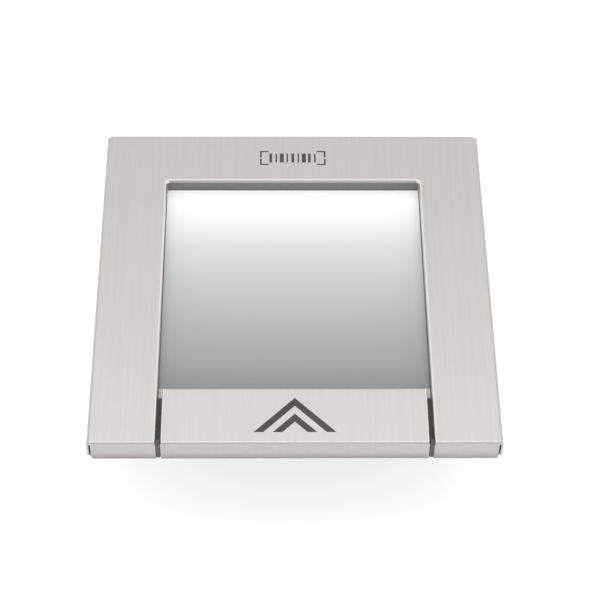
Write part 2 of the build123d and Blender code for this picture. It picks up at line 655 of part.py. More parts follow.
with BuildPart() as deck_gasket:
    top_middle_y = (TUB_TOP[1] + BACK_Y) / 2
    top_depth = BACK_Y - TUB_TOP[1]
    with BuildSketch(Plane.XY.offset(TUB_TOP_Z)):
        with Locations((0, top_middle_y)):
            RectangleRounded(TUB_TOP[0], top_depth, TUB_CORNER)
            inside = (TUB_TOP[0] - 2 * WALL, top_depth - 2 * WALL)
            RectangleRounded(*inside, TUB_CORNER - WALL, mode=Mode.SUBTRACT)
        with Locations(*DECK_SCREWS):
            Circle(BOSS_R, mode=Mode.SUBTRACT)
    extrude(amount=DECK_Z - TUB_TOP_Z)
save(deck_gasket, "deck_gasket")

with BuildPart() as dust_window:
    add(dust_pane)
    chamfer(dust_window.faces().sort_by(Axis.Z)[-1].edges(), length=0.3)
save(dust_window, "dust_window")

with BuildPart() as dust_seal:
    add(seal_body)
    add(dust_pane, mode=Mode.SUBTRACT)
    add(view_hole, mode=Mode.SUBTRACT)
save(dust_seal, "dust_seal")

# ------------------------------------------------------------------ housing: feet
with BuildPart() as foot_bushings:
    with BuildSketch(Plane.XY.offset(BASE_Z)):
        with Locations(*FOOT_POINTS):
            Circle(BUSHING_R)
    extrude(amount=BUSHING)
    with BuildSketch(Plane.XY.offset(FLOOR_Z)):
        with Locations(*FOOT_POINTS):
            Circle(6.5)
    extrude(amount=1.6)
    with BuildSketch(Plane.XY.offset(BASE_Z)):
        with Locations(*FOOT_POINTS):
            Circle(STUD_BORE_R)
    extrude(amount=BUSHING, mode=Mode.SUBTRACT)
save(foot_bushings, "foot_bushings")

PAD_TOP = 3.0
PAD_R = 11.0
STUD_TOP = 19.0
NUT_R = 6.9  # corners of the hexagon that turns a foot
for corner_name, (foot_x, foot_y) in zip(FOOT_NAMES, FOOT_POINTS):
    with BuildPart() as foot_pad:
        with BuildSketch(Plane.XZ.offset(-foot_y)):
            Polygon(
                (foot_x, 0),
                (foot_x + PAD_R - 1.0, 0),
                (foot_x + PAD_R, 0.8),
                (foot_x + PAD_R, 1.8),
                (foot_x + PAD_R - 1.5, PAD_TOP),
                (foot_x + 3.1, PAD_TOP),
                (foot_x + 3.1, 2.3),
                (foot_x + 4.3, 2.3),
                (foot_x + 4.3, 1.0),
                (foot_x, 1.0),
                align=None,
            )
        revolve(axis=Axis((foot_x, foot_y, 0), (0, 0, 1)))
    save(foot_pad, f"foot_pad_{corner_name}")

    with BuildPart() as foot_stud:
        with BuildSketch(Plane.XZ.offset(-foot_y)):
            Polygon(
                (foot_x, 1.3),
                (foot_x + 4.0, 1.3),
                (foot_x + 4.0, 2.0),
                (foot_x + 2.8, 2.0),
                (foot_x + 2.8, 3.6),
                (foot_x + STUD_R, 3.6),
                (foot_x + STUD_R, STUD_TOP - 0.8),
                (foot_x + STUD_R - 0.8, STUD_TOP),
                (foot_x, STUD_TOP),
                align=None,
            )
        revolve(axis=Axis((foot_x, foot_y, 0), (0, 0, 1)))
        with BuildSketch(Plane.XY.offset(PAD_TOP + GAP)):
            with Locations((foot_x, foot_y)):
                RegularPolygon(NUT_R, 6)
        extrude(amount=2.2)
    save(foot_stud, f"foot_stud_{corner_name}")

# ------------------------------------------------------------------ electronics
with BuildPart() as main_board:
    board_span = (BOARD_TOP - BOARD_THICK, BOARD_TOP)
    add(slab((-BOARD_X, BOARD_X), (BOARD_FRONT, BOARD_BACK), board_span, corner=2.0))
    add(discs(BOARD_SCREWS, PILOT_R, BOARD_TOP - 2, BOARD_TOP + 1), mode=Mode.SUBTRACT)
save(main_board, "main_board")

board_screw_shape = pan_screw(2.75, 1.8, PILOT_R, 3.6)
with BuildPart() as board_screws:
    with Locations(*[(x, y, BOARD_TOP) for x, y in BOARD_SCREWS]):
        add(board_screw_shape)
save(board_screws, "board_screws")

CHIP = 1.2  # height of every chip
with BuildPart() as board_chips:
    # processor under the heat sink, then memory, interface and power chips
    chips = [(0.0, 46.0, 14.0, 14.0), (-20.0, 42.0, 11.0, 8.0), (20.0, 42.0, 11.0, 8.0)]
    chips += [(-22.0, 60.0, 7.0, 7.0), (26.0, 60.0, 9.0, 6.0)]
    with BuildSketch(Plane.XY.offset(BOARD_TOP)):
        for x, y, width, depth in chips:
            with Locations((x, y)):
                Rectangle(width, depth)
    extrude(amount=CHIP)
save(board_chips, "board_chips")

SINK = 20.0  # side of the heat sink
SINK_Z = BOARD_TOP + CHIP
SINK_BASE, SINK_HEIGHT = 1.5, 8.0
FINS, FIN_PITCH = 7, 3.1
with BuildPart() as heat_sink:
    with BuildSketch(Plane.XZ.offset(-36.0)):
        with Locations((0, SINK_Z + SINK_BASE / 2)):
            Rectangle(SINK, SINK_BASE)
        with Locations(*[((i - (FINS - 1) / 2) * FIN_PITCH, SINK_Z + SINK_HEIGHT / 2) for i in range(FINS)]):
            Rectangle(1.2, SINK_HEIGHT)
    extrude(amount=-SINK)
save(heat_sink, "heat_sink")

with BuildPart() as capacitors:
    with BuildSketch(Plane.XY.offset(BOARD_TOP)):
        with Locations(*[(37.0, 47.0 + 10.0 * i) for i in range(3)]):
            Circle(3.5)
    extrude(amount=9.0)
    can_tops = capacitors.faces().filter_by(Axis.Z).filter_by(lambda f: f.center().Z > BOARD_TOP)
    fillet(can_tops.edges(), radius=0.6)
save(capacitors, "capacitors")

BEEPER = 7.5  # height of the beeper
with BuildPart() as beeper:
    with BuildSketch(Plane.XY.offset(BOARD_TOP)):
        with Locations(BEEPER_AT):
            Circle(8.0)
    extrude(amount=BEEPER)
    fillet(beeper.faces().sort_by(Axis.Z)[-1].edges(), radius=0.8)
    with BuildSketch(Plane.XY.offset(BOARD_TOP + BEEPER)):
        with Locations(BEEPER_AT):
            Circle(1.5)
    extrude(amount=-4.0, mode=Mode.SUBTRACT)
save(beeper, "beeper")


def modular_port(port, latch_width):
    """Modular jack on the main board with its mouth in the back wall."""
    x, width, height = port
    with BuildPart() as jack:
        with BuildSketch(Plane.XZ.offset(-PORT_FACE)):
            with Locations((x, BOARD_TOP + height / 2)):
                Rectangle(width, height)
        extrude(amount=PORT_DEPTH)
        with BuildSketch(Plane.XZ.offset(-PORT_FACE)):
            mouth_height = height - 5.4
            with Locations((x, BOARD_TOP + height / 2 + 0.9)):
                Rectangle(width - 3.8, mouth_height)
            with Locations((x, BOARD_TOP + height / 2 - mouth_height / 2)):
                Rectangle(latch_width, 3.2)
        extrude(amount=PORT_DEPTH - 3.0, mode=Mode.SUBTRACT)
    return jack.part


host_port_shape = modular_port(HOST_PORT, 6.0)
data_port_shape = modular_port(DATA_PORT, 5.0)

with BuildPart() as host_port:
    add(host_port_shape)
save(host_port, "host_port")

with BuildPart() as data_port:
    add(data_port_shape)
save(data_port, "data_port")

CONTACT_PITCH = 1.02
with BuildPart() as port_contacts:
    for (x, width, height), count in ((HOST_PORT, 10), (DATA_PORT, 6)):
        with BuildSketch(Plane.XY.offset(BOARD_TOP + height - 3.0)):
            for i in range(count):
                with Locations((x + (i - (count - 1) / 2) * CONTACT_PITCH, BACK_Y - 6.6)):
                    Rectangle(0.4, 8.0)
        extrude(amount=0.9)
save(port_contacts, "port_contacts")

with BuildPart() as power_port:
    power_x, power_width, power_height = POWER_PORT
    with BuildSketch(Plane.XZ.offset(-PORT_FACE)):
        with Locations((power_x, BOARD_TOP + power_height / 2)):
            Rectangle(power_width, power_height)
    extrude(amount=PORT_DEPTH)
    with BuildSketch(Plane.XZ.offset(-PORT_FACE)):
        with Locations((power_x, BOARD_TOP + power_height / 2 + 0.5)):
            Circle(3.15)
    extrude(amount=9.5, mode=Mode.SUBTRACT)
    with BuildSketch(Plane.XZ.offset(-BACK_Y + 2.4)):
        with Locations((power_x, BOARD_TOP + power_height / 2 + 0.5)):
            Circle(1.0)
    extrude(amount=7.6)
save(power_port, "power_port")

CAP_BACK = 81.1  # inner end of each button
CAP_FACE = BACK_Y + 1.4  # outer face of each button
for button_name, button_x in BUTTON_X.items():
    with BuildPart() as button:
        with BuildSketch(Plane.XZ.offset(-CAP_BACK)):
            with Locations((button_x, BUTTON_Z)):
                Circle(BUTTON_R + 1.2)
        extrude(amount=-1.1)
        with BuildSketch(Plane.XZ.offset(-CAP_BACK)):
            with Locations((button_x, BUTTON_Z)):
                Circle(BUTTON_R)
        extrude(amount=-(CAP_FACE - CAP_BACK))
        fillet(button.edges().filter_by(lambda e: lies_at(e, 1, CAP_FACE)), radius=0.6)
    save(button, button_name)

with BuildPart() as push_switches:
    for button_x in BUTTON_X.values():
        with BuildSketch(Plane.XY.offset(BOARD_TOP)):
            with Locations((button_x, 76.0)):
                Rectangle(7.0, 4.6)
        extrude(amount=10.0)
        with BuildSketch(Plane.XZ.offset(-78.3)):
            with Locations((button_x, BUTTON_Z)):
                Circle(1.7)
        extrude(amount=-1.7)
save(push_switches, "push_switches")

LAMP_BACK, LAMP_FACE = 78.5, 85.8  # inner and outer ends of the lamp
LEG = 0.5  # side of each square leg
LEG_SPREAD = 1.27  # from the lamp's middle
with BuildPart() as status_lamp:
    with BuildSketch(Plane.XZ.offset(-LAMP_BACK)):
        with Locations((LAMP_X, BUTTON_Z)):
            Circle(LAMP_R)
    extrude(amount=LAMP_BACK - LAMP_FACE)
    fillet(status_lamp.edges().filter_by(lambda e: lies_at(e, 1, LAMP_FACE)), radius=1.8)
    with BuildSketch(Plane.XZ.offset(-LAMP_BACK)):
        with Locations((LAMP_X, BUTTON_Z)):
            Circle(LAMP_R + 0.4)
    extrude(amount=-1.0)
    for leg_x in (LAMP_X - LEG_SPREAD, LAMP_X + LEG_SPREAD):
        with BuildSketch(Plane.XY.offset(BOARD_TOP)):
            with Locations((leg_x, 77.25)):
                Rectangle(LEG, LEG)
        extrude(amount=BUTTON_Z + LEG / 2 - BOARD_TOP)
        with BuildSketch(Plane.XZ.offset(-77.0)):
            with Locations((leg_x, BUTTON_Z)):
                Rectangle(LEG, LEG)
        extrude(amount=-1.6)
save(status_lamp, "status_lamp")

# ------------------------------------------------------------------ optics: camera
BRACKET_FACE = 66.0  # front of the camera bracket
BOARD_FACE = 62.4  # front of the camera board
CAMERA_BOARD = 1.6  # thickness of the camera board
PIN = 13.0  # from the camera's axis to the screws, each way
CAMERA_PINS = [(x, VIEW_Z + z) for z in (-PIN, PIN) for x in (-PIN, PIN)]

BRACKET_SHEET = 1.2  # sheet of the camera's and the lights' brackets
bracket_x = (-20.0, 20.0)
cable_notch = slab((-9.0, 9.0), (BRACKET_FACE - 1, BRACKET_FACE + 2), (20.0, 27.0))

with BuildPart() as camera_bracket:
    add(slab(bracket_x, (BRACKET_FACE, BRACKET_FACE + BRACKET_SHEET), (22.0, DECK_Z)))
    add(slab(bracket_x, (BRACKET_FACE, 74.0), (DECK_Z - BRACKET_SHEET, DECK_Z)))
    add(cable_notch, mode=Mode.SUBTRACT)
    # spacers for the camera board
    with BuildSketch(Plane.XZ.offset(-BRACKET_FACE)):
        with Locations(*CAMERA_PINS[2:]):
            Circle(2.2)
    extrude(amount=BRACKET_FACE - BOARD_FACE - CAMERA_BOARD)
    with BuildSketch(Plane.XY.offset(DECK_Z)):
        with Locations(*CAMERA_SCREWS):
            Circle(PILOT_R)
    extrude(amount=-2.0, mode=Mode.SUBTRACT)
    with BuildSketch(Plane.XZ.offset(-BRACKET_FACE - 2)):
        with Locations(*CAMERA_PINS[2:]):
            Circle(1.0)
    extrude(amount=10.0, mode=Mode.SUBTRACT)
save(camera_bracket, "camera_bracket")

with BuildPart() as camera_board:
    with BuildSketch(Plane.XZ.offset(-BOARD_FACE)):
        with Locations((0, VIEW_Z)):
            RectangleRounded(32.0, 32.0, 2.0)
        with Locations(*CAMERA_PINS):
            Circle(1.0, mode=Mode.SUBTRACT)
    extrude(amount=-CAMERA_BOARD)
save(camera_board, "camera_board")

with BuildPart() as image_sensor:
    add(slab((-6.0, 6.0), (BOARD_FACE - CHIP, BOARD_FACE), (VIEW_Z - 4.5, VIEW_Z + 4.5)))
save(image_sensor, "image_sensor")

with BuildPart() as lens_mount:
    with BuildSketch(Plane.XZ.offset(-BOARD_FACE)):
        with Locations((0, VIEW_Z)):
            RectangleRounded(20.0, 18.0, 2.0)
    extrude(amount=4.0)
    with BuildSketch(Plane.XZ.offset(-BOARD_FACE)):
        with Locations((0, VIEW_Z)):
            Rectangle(14.0, 11.0)
    extrude(amount=2.4, mode=Mode.SUBTRACT)
    with BuildSketch(Plane.XZ.offset(-BOARD_FACE + 4.0)):
        with Locations((0, VIEW_Z)):
            Circle(8.0)
    extrude(amount=8.0)
    with BuildSketch(Plane.XZ.offset(-BOARD_FACE)):
        with Locations((0, VIEW_Z)):
            Circle(6.5)
    extrude(amount=14.0, mode=Mode.SUBTRACT)
save(lens_mount, "lens_mount")

LENS_FRONT = 44.0
with BuildPart() as lens_barrel:
    with BuildSketch(Plane.YZ):
        Polygon(
            (LENS_FRONT, VIEW_Z + 5.2),
            (LENS_FRONT, VIEW_Z + 8.0),
            (LENS_FRONT + 4.0, VIEW_Z + 8.0),
            (LENS_FRONT + 4.0, VIEW_Z + 6.5),
            (LENS_FRONT + 15.0, VIEW_Z + 6.5),
            (LENS_FRONT + 15.0, VIEW_Z + 4.0),
            (LENS_FRONT + 3.5, VIEW_Z + 4.0),
            (LENS_FRONT + 3.5, VIEW_Z + 5.2),
            align=None,
        )
    revolve(axis=Axis((0, 0, VIEW_Z), (0, 1, 0)))
save(lens_barrel, "lens_barrel")

with BuildPart() as lens_elements:
    with BuildSketch(Plane.XZ.offset(-LENS_FRONT - 0.8)):
        with Locations((0, VIEW_Z)):
            Circle(5.2)
    extrude(amount=-2.7)
    fillet(lens_elements.edges().filter_by(lambda e: lies_at(e, 1, LENS_FRONT + 0.8)), radius=0.8)
    with BuildSketch(Plane.XZ.offset(-LENS_FRONT - 10.0)):
        with Locations((0, VIEW_Z)):
            Circle(4.0)
    extrude(amount=-2.4)
save(lens_elements, "lens_elements")

CABLE = 0.3  # thickness of the flat cable
CABLE_WIDTH = 10.0
CABLE_Y = BOARD_FACE + CAMERA_BOARD  # it lies on the back of the camera board
CABLE_TOP_Z = 25.0
CABLE_END_Y = 59.0  # inside its socket
CABLE_Z = 13.3
with BuildPart() as camera_cable:
    # flat cable from the back of the camera board to its socket on the main board
    with BuildSketch(Plane.YZ.offset(-CABLE_WIDTH / 2)):
        Polygon(
            (CABLE_Y, CABLE_TOP_Z),
            (CABLE_Y, CABLE_Z + CABLE),
            (CABLE_END_Y, CABLE_Z + CABLE),
            (CABLE_END_Y, CABLE_Z),
            (CABLE_Y + CABLE, CABLE_Z),
            (CABLE_Y + CABLE, CABLE_TOP_Z),
            align=None,
        )
    extrude(amount=CABLE_WIDTH)
save(camera_cable, "camera_cable")

cable_mouth = slab((-CABLE_WIDTH / 2, CABLE_WIDTH / 2), (CABLE_END_Y, 61.5), (CABLE_Z, CABLE_Z + CABLE))
with BuildPart() as cable_socket:
    add(slab((-6.5, 6.5), (56.5, 61.0), (BOARD_TOP, BOARD_TOP + 2.4)))
    add(cable_mouth, mode=Mode.SUBTRACT)
save(cable_socket, "cable_socket")


# ------------------------------------------------------------------ optics: fold mirror
def mirror_plane(x):
    """Plane at x whose first axis climbs the mirror forwards and whose second leaves its face."""
    return Plane(origin=(x, MIRROR_Y, VIEW_Z), x_dir=(0, -1, 1), z_dir=(-1, 0, 0))


MIRROR_WIDTH, MIRROR_LENGTH, MIRROR_THICK = 92.0, 50.0, 3.0
with BuildPart() as fold_mirror:
    with BuildSketch(mirror_plane(MIRROR_WIDTH / 2)):
        with Locations((0, -MIRROR_THICK / 2)):
            Rectangle(MIRROR_LENGTH, MIRROR_THICK)
    extrude(amount=MIRROR_WIDTH)
save(fold_mirror, "fold_mirror")

TRAY_WIDTH, TRAY_LENGTH, TRAY_THICK, CHEEK = 98.0, 54.0, 1.6, 1.6
with BuildPart() as mirror_bracket:
    with BuildSketch(mirror_plane(TRAY_WIDTH / 2)):
        with Locations((0, -MIRROR_THICK - TRAY_THICK / 2)):
            Rectangle(TRAY_LENGTH, TRAY_THICK)
    extrude(amount=TRAY_WIDTH)
    # cheeks down to the base plate, with a foot on each
    drop = (MIRROR_THICK + TRAY_THICK / 2) / math.sqrt(2)
    reach = TRAY_LENGTH / 2 / math.sqrt(2)
    top_y, top_z = MIRROR_Y - drop - reach, VIEW_Z - drop + reach
    low_y, low_z = MIRROR_Y - drop + reach, VIEW_Z - drop - reach
    for cheek_x in (-TRAY_WIDTH / 2, TRAY_WIDTH / 2 - CHEEK):
        with BuildSketch(Plane.YZ.offset(cheek_x)):
            Polygon((top_y, top_z), (low_y, low_z), (low_y, FLOOR_Z), (top_y, FLOOR_Z), align=None)
        extrude(amount=CHEEK)
    for side in (-1, 1):
        with BuildSketch(Plane.XY.offset(FLOOR_Z)):
            with Locations((side * (TRAY_WIDTH / 2 + 3.0), -10.0)):
                Rectangle(8.0, 24.0)
            with Locations((side * 52.5, -10.0)):
                Circle(PILOT_R, mode=Mode.SUBTRACT)
        extrude(amount=1.6)
save(mirror_bracket, "mirror_bracket")

with BuildPart() as mirror_clips:
    clip_width, clip_sheet = 8.0, 0.5
    clip_bottom = -MIRROR_THICK - TRAY_THICK - clip_sheet
    for clip_x in (-28.0, 36.0):
        for end in (-1, 1):
            edge_s = end * (TRAY_LENGTH / 2 + clip_sheet / 2)
            with BuildSketch(mirror_plane(clip_x)):
                with Locations((edge_s, (clip_bottom + clip_sheet) / 2)):
                    Rectangle(clip_sheet, clip_sheet - clip_bottom)
                with Locations((end * (TRAY_LENGTH / 2 - 2.0), clip_sheet / 2)):
                    Rectangle(5.0, clip_sheet)
                with Locations((end * (TRAY_LENGTH / 2 - 2.0), clip_bottom + clip_sheet / 2)):
                    Rectangle(5.0, clip_sheet)
            extrude(amount=clip_width)
save(mirror_clips, "mirror_clips")

# ------------------------------------------------------------------ optics: lighting
LIGHT_X, LIGHT_Z = 69.0, 50.0  # middle of each lighting board
LIGHT_LENGTH = 90.0
LIGHT_BOARD = 1.6  # thickness of each lighting board
LEDS, LED_PITCH = 6, 15.0
LED_HEIGHT = 1.2
lean = math.radians(LIGHT_TILT)


def on_light(height):
    """Point on the board's normal at height above its middle, in the XZ plane."""
    return (LIGHT_X - height * math.sin(lean), LIGHT_Z + height * math.cos(lean))


with BuildPart() as light_brackets:
    with BuildSketch(Plane.XZ.offset(-LIGHT_LENGTH / 2)):
        with Locations(on_light(-LIGHT_BOARD / 2 - BRACKET_SHEET / 2)):
            Rectangle(12.6, BRACKET_SHEET, rotation=LIGHT_TILT)
        with Locations((75.1, 56.7)):
            Rectangle(BRACKET_SHEET, 8.6)
        with Locations((70.95, DECK_Z - BRACKET_SHEET / 2)):
            Rectangle(9.5, BRACKET_SHEET)
    extrude(amount=LIGHT_LENGTH)
    add(discs(LIGHT_SCREWS[2:], PILOT_R, DECK_Z - 2, DECK_Z), mode=Mode.SUBTRACT)
    mirror(about=Plane.YZ)
save(light_brackets, "light_brackets")

with BuildPart() as light_boards:
    with BuildSketch(Plane.XZ.offset(-LIGHT_LENGTH / 2)):
        with Locations((LIGHT_X, LIGHT_Z)):
            Rectangle(12.0, LIGHT_BOARD, rotation=LIGHT_TILT)
    extrude(amount=LIGHT_LENGTH)
    mirror(about=Plane.YZ)
save(light_boards, "light_boards")

with BuildPart() as light_leds:
    for i in range(LEDS):
        with BuildSketch(Plane.XZ.offset((i - LEDS / 2) * LED_PITCH + 9.0)):
            with Locations(on_light(LIGHT_BOARD / 2 + LED_HEIGHT / 2)):
                Rectangle(3.0, LED_HEIGHT, rotation=LIGHT_TILT)
        extrude(amount=-3.0)
    mirror(about=Plane.YZ)
save(light_leds, "light_leds")

with BuildPart() as light_diffusers:
    diffuser_length = LIGHT_LENGTH - 2.0
    with BuildSketch(Plane.XZ.offset(-diffuser_length / 2)):
        with Locations(on_light(2.5)):
            Rectangle(12.0, 3.4, rotation=LIGHT_TILT)
        with Locations(on_light(2.0)):
            Rectangle(10.0, 2.4, rotation=LIGHT_TILT, mode=Mode.SUBTRACT)
    extrude(amount=diffuser_length)
    mirror(about=Plane.YZ)
save(light_diffusers, "light_diffusers")

# ------------------------------------------------------------------ screws of the brackets
under_screw = Rotation(180, 0, 0) * pan_screw(2.4, 1.8, PILOT_R, 3.6)
floor_screw = pan_screw(2.4, 1.8, PILOT_R, 3.0)
pin_screw = Rotation(90, 0, 0) * pan_screw(2.0, 1.4, 1.0, 4.6)
with BuildPart() as bracket_screws:
    with Locations(*[(x, y, DECK_Z - 1.2) for x, y in LIGHT_SCREWS + CAMERA_SCREWS]):
        add(under_screw)
    with Locations(*[(x, y, FLOOR_Z + 1.6) for x, y in MIRROR_SCREWS]):
        add(floor_screw)
    with Locations(*[(x, BOARD_FACE, z) for x, z in CAMERA_PINS[2:]]):
        add(pin_screw)
save(bracket_screws, "bracket_screws")
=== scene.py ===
"""The look of the flatbed barcode scanner: finishes, moulded and electronic detail, light and camera."""
import json
import math

import bmesh
import bpy
from mathutils import Matrix, Vector


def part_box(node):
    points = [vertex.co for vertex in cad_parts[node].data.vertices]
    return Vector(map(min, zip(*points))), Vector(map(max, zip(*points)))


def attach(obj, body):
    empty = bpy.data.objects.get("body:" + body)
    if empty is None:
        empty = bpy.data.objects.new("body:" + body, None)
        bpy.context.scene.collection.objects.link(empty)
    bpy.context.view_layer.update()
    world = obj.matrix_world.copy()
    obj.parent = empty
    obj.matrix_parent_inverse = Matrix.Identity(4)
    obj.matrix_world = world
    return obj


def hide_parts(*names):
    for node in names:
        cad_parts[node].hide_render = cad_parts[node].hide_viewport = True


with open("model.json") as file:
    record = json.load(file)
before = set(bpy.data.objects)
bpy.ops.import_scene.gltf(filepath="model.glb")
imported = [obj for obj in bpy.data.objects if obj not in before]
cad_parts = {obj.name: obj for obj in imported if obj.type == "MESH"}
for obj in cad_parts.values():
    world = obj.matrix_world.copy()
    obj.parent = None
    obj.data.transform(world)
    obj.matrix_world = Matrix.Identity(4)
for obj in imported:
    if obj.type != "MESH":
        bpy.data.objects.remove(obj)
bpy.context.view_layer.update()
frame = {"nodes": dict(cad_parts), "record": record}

NODES = frame["nodes"]
MM = 0.001

# ------------------------------------------------------------------ places taken from the frame
COVER_LOW, COVER_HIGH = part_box("bezel_frame")
PANEL_BACK_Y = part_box("front_panel")[1][1]
GLASS_LOW, GLASS_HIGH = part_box("window_glass")
TUB_LOW, TUB_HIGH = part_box("lower_tub")
BOARD_LOW, BOARD_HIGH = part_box("main_board")
TOP_Z = COVER_HIGH[2]
TUB_CORNER = 12 * MM
BACK_WALL = TUB_HIGH[1]
BUTTON_LOW, BUTTON_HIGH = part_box("volume_button")
BUTTON_Z = (BUTTON_LOW[2] + BUTTON_HIGH[2]) / 2
SIGN_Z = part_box("host_port")[1][2] + 5 * MM  # middle of the signs on the back wall
COLLAR_RISE = 0.5 * MM  # height of the collars on the back wall
COLLAR_EASE = 0.15 * MM  # height of their eased edge
COLLAR_TAPER = 0.975  # size of a collar's top against its foot

# ------------------------------------------------------------------ camera
LENS_MM = 115.0
CAMERA_DISTANCE = 1.048  # metres from the point it looks at
CAMERA_ELEVATION = 52.13  # degrees above the horizon
CAMERA_TURN = -1.24  # degrees to the side
CAMERA_ROLL = 0.96  # degrees
CAMERA_AIM = Vector((0.0033, -0.0141, TOP_Z))


# ------------------------------------------------------------------ node helpers
class Shader:
    """A material with one Principled shader, and short calls for the nodes in front of it."""

    def __init__(self, name, color, roughness, **sockets):
        self.material = bpy.data.materials.new(name)
        self.material.use_nodes = True
        self.tree = self.material.node_tree
        self.shader = self.tree.nodes["Principled BSDF"]
        self.shader.inputs["Base Color"].default_value = (*color, 1.0)
        self.shader.inputs["Roughness"].default_value = roughness
        for socket, value in sockets.items():
            self.shader.inputs[socket.replace("_", " ")].default_value = value
        self.material.diffuse_color = (*color, 1.0)
        self.coords = self.tree.nodes.new("ShaderNodeTexCoord").outputs["Object"]

    def link(self, output, target):
        self.tree.links.new(output, target)

    def node(self, kind, **settings):
        made = self.tree.nodes.new(kind)
        for key, value in settings.items():
            setattr(made, key, value)
        return made

    def split(self, vector):
        """The X, Y and Z of a vector output."""
        parts = self.node("ShaderNodeSeparateXYZ")
        self.link(vector, parts.inputs["Vector"])
        return parts.outputs["X"], parts.outputs["Y"], parts.outputs["Z"]

    def facing(self):
        """How squarely a face looks along X and along Y, from 0 to 1, either way round."""
        x, y, _ = self.split(self.node("ShaderNodeNewGeometry").outputs["Normal"])
        return self.absolute(x), self.absolute(y)

    def stretch(self, scale):
        """Object coordinates, scaled on each axis."""
        mapping = self.node("ShaderNodeMapping")
        mapping.inputs["Scale"].default_value = scale
        self.link(self.coords, mapping.inputs["Vector"])
        return mapping.outputs["Vector"]

    def noise(self, scale, detail=4.0, roughness=0.55, stretch=(1.0, 1.0, 1.0)):
        """Noise of scale features to the metre."""
        texture = self.node("ShaderNodeTexNoise")
        texture.inputs["Scale"].default_value = scale
        texture.inputs["Detail"].default_value = detail
        texture.inputs["Roughness"].default_value = roughness
        self.link(self.stretch(stretch), texture.inputs["Vector"])
        return texture.outputs["Fac"]

    def cells(self, scale, feature="F1", output="Distance", stretch=(1.0, 1.0, 1.0)):
        """Voronoi cells of scale to the metre."""
        texture = self.node("ShaderNodeTexVoronoi", feature=feature)
        texture.inputs["Scale"].default_value = scale
        self.link(self.stretch(stretch), texture.inputs["Vector"])
        return texture.outputs[output]

    def span(self, value, low, high, start=0.0, end=1.0):
        """value, mapped from start..end to low..high and held there."""
        ranger = self.node("ShaderNodeMapRange")
        ranger.inputs["From Min"].default_value = start
        ranger.inputs["From Max"].default_value = end
        ranger.inputs["To Min"].default_value = low
        ranger.inputs["To Max"].default_value = high
        self.link(value, ranger.inputs["Value"])
        return ranger.outputs["Result"]

    def math(self, operation, first, second):
        """One Math node on an output and an output or number."""
        maths = self.node("ShaderNodeMath", operation=operation)
        self.link(first, maths.inputs[0])
        if isinstance(second, (int, float)):
            maths.inputs[1].default_value = second
        else:
            self.link(second, maths.inputs[1])
        return maths.outputs["Value"]

    def absolute(self, value):
        return self.math("ABSOLUTE", value, 0.0)

    def blend(self, factor, first, second):
        """Colour between two colours or colour outputs."""
        mix = self.node("ShaderNodeMix", data_type="RGBA")
        self.link(factor, mix.inputs["Factor"])
        for value, socket in ((first, mix.inputs["A"]), (second, mix.inputs["B"])):
            if isinstance(value, tuple):
                socket.default_value = (*value, 1.0)
            else:
                self.link(value, socket)
        return mix.outputs["Result"]

    def color(self, output):
        self.link(output, self.shader.inputs["Base Color"])

    def rough(self, value, low, high):
        self.link(self.span(value, low, high), self.shader.inputs["Roughness"])

    def bump(self, height, distance, strength=1.0):
        """Relief of distance metres from a height output."""
        relief = self.node("ShaderNodeBump")
        relief.inputs["Strength"].default_value = strength
        relief.inputs["Distance"].default_value = distance
        self.link(height, relief.inputs["Height"])
        self.link(relief.outputs["Normal"], self.shader.inputs["Normal"])


# ------------------------------------------------------------------ materials
def brushed_steel():
    """Stainless sheet with its grain from front to back, and down the folded front and back rims."""
    steel = Shader("stainless", (0.64, 0.622, 0.612), 0.34, Metallic=1.0)
    facing_x, facing_y = steel.facing()
    x, _, z = steel.split(steel.coords)
    on_rim = steel.span(facing_y, 0.0, 1.0, 0.5, 0.8)

    # the grain: fine lines along the sheet, with wider and fainter bands between them
    fine, coarse = 2600.0, 14.0
    along = steel.noise(1.0, detail=3.0, stretch=(fine, coarse, fine))
    down = steel.noise(1.0, detail=3.0, stretch=(fine, fine, coarse))
    wide = steel.noise(1.0, detail=2.0, stretch=(520.0, 5.0, 520.0))
    grain = steel.node("ShaderNodeMix")
    steel.link(on_rim, grain.inputs["Factor"])
    steel.link(along, grain.inputs["A"])
    steel.link(down, grain.inputs["B"])
    height = grain.outputs["Result"]
    lines = steel.span(height, 0.0, 0.6, 0.3, 0.7)
    bands = steel.span(wide, 0.0, 0.4, 0.3, 0.7)
    streaks = steel.math("ADD", lines, bands)

    # the tone: painted shade that makes the rims a little darker, a painted highlight on the bends beside the
    # window, and painted shade darkening the rim towards its foot
    tone = steel.blend(streaks, (0.544, 0.523, 0.513), (0.588, 0.566, 0.556))
    # painted shade: faces turned to the front or back, the folded rims, are darkened by 13 per cent
    tone = steel.blend(steel.math("MULTIPLY", on_rim, 0.13), tone, (0.0, 0.0, 0.0))
    # painted highlight: faces turned sideways less than 78 mm from the middle, fading out by 80 mm, which are
    # the bends beside the window, are painted near white
    painted_bend_highlight = steel.span(facing_x, 0.0, 1.0, 0.15, 0.45)
    inside = steel.span(steel.absolute(x), 1.0, 0.0, 78 * MM, 80 * MM)
    tone = steel.blend(steel.math("MULTIPLY", painted_bend_highlight, inside), tone, (0.9, 0.885, 0.875))
    # painted shade: the rim darkens towards its foot over its lowest 6 mm, standing in for the shadow under
    # the lip
    painted_foot_shade = steel.span(z, 1.0, 0.0, COVER_LOW[2], COVER_LOW[2] + 6 * MM)
    steel.color(steel.blend(painted_foot_shade, tone, (0.29, 0.28, 0.275)))
    steel.rough(streaks, 0.42, 0.34)
    steel.bump(height, 0.00001, 0.35)
    return steel.material


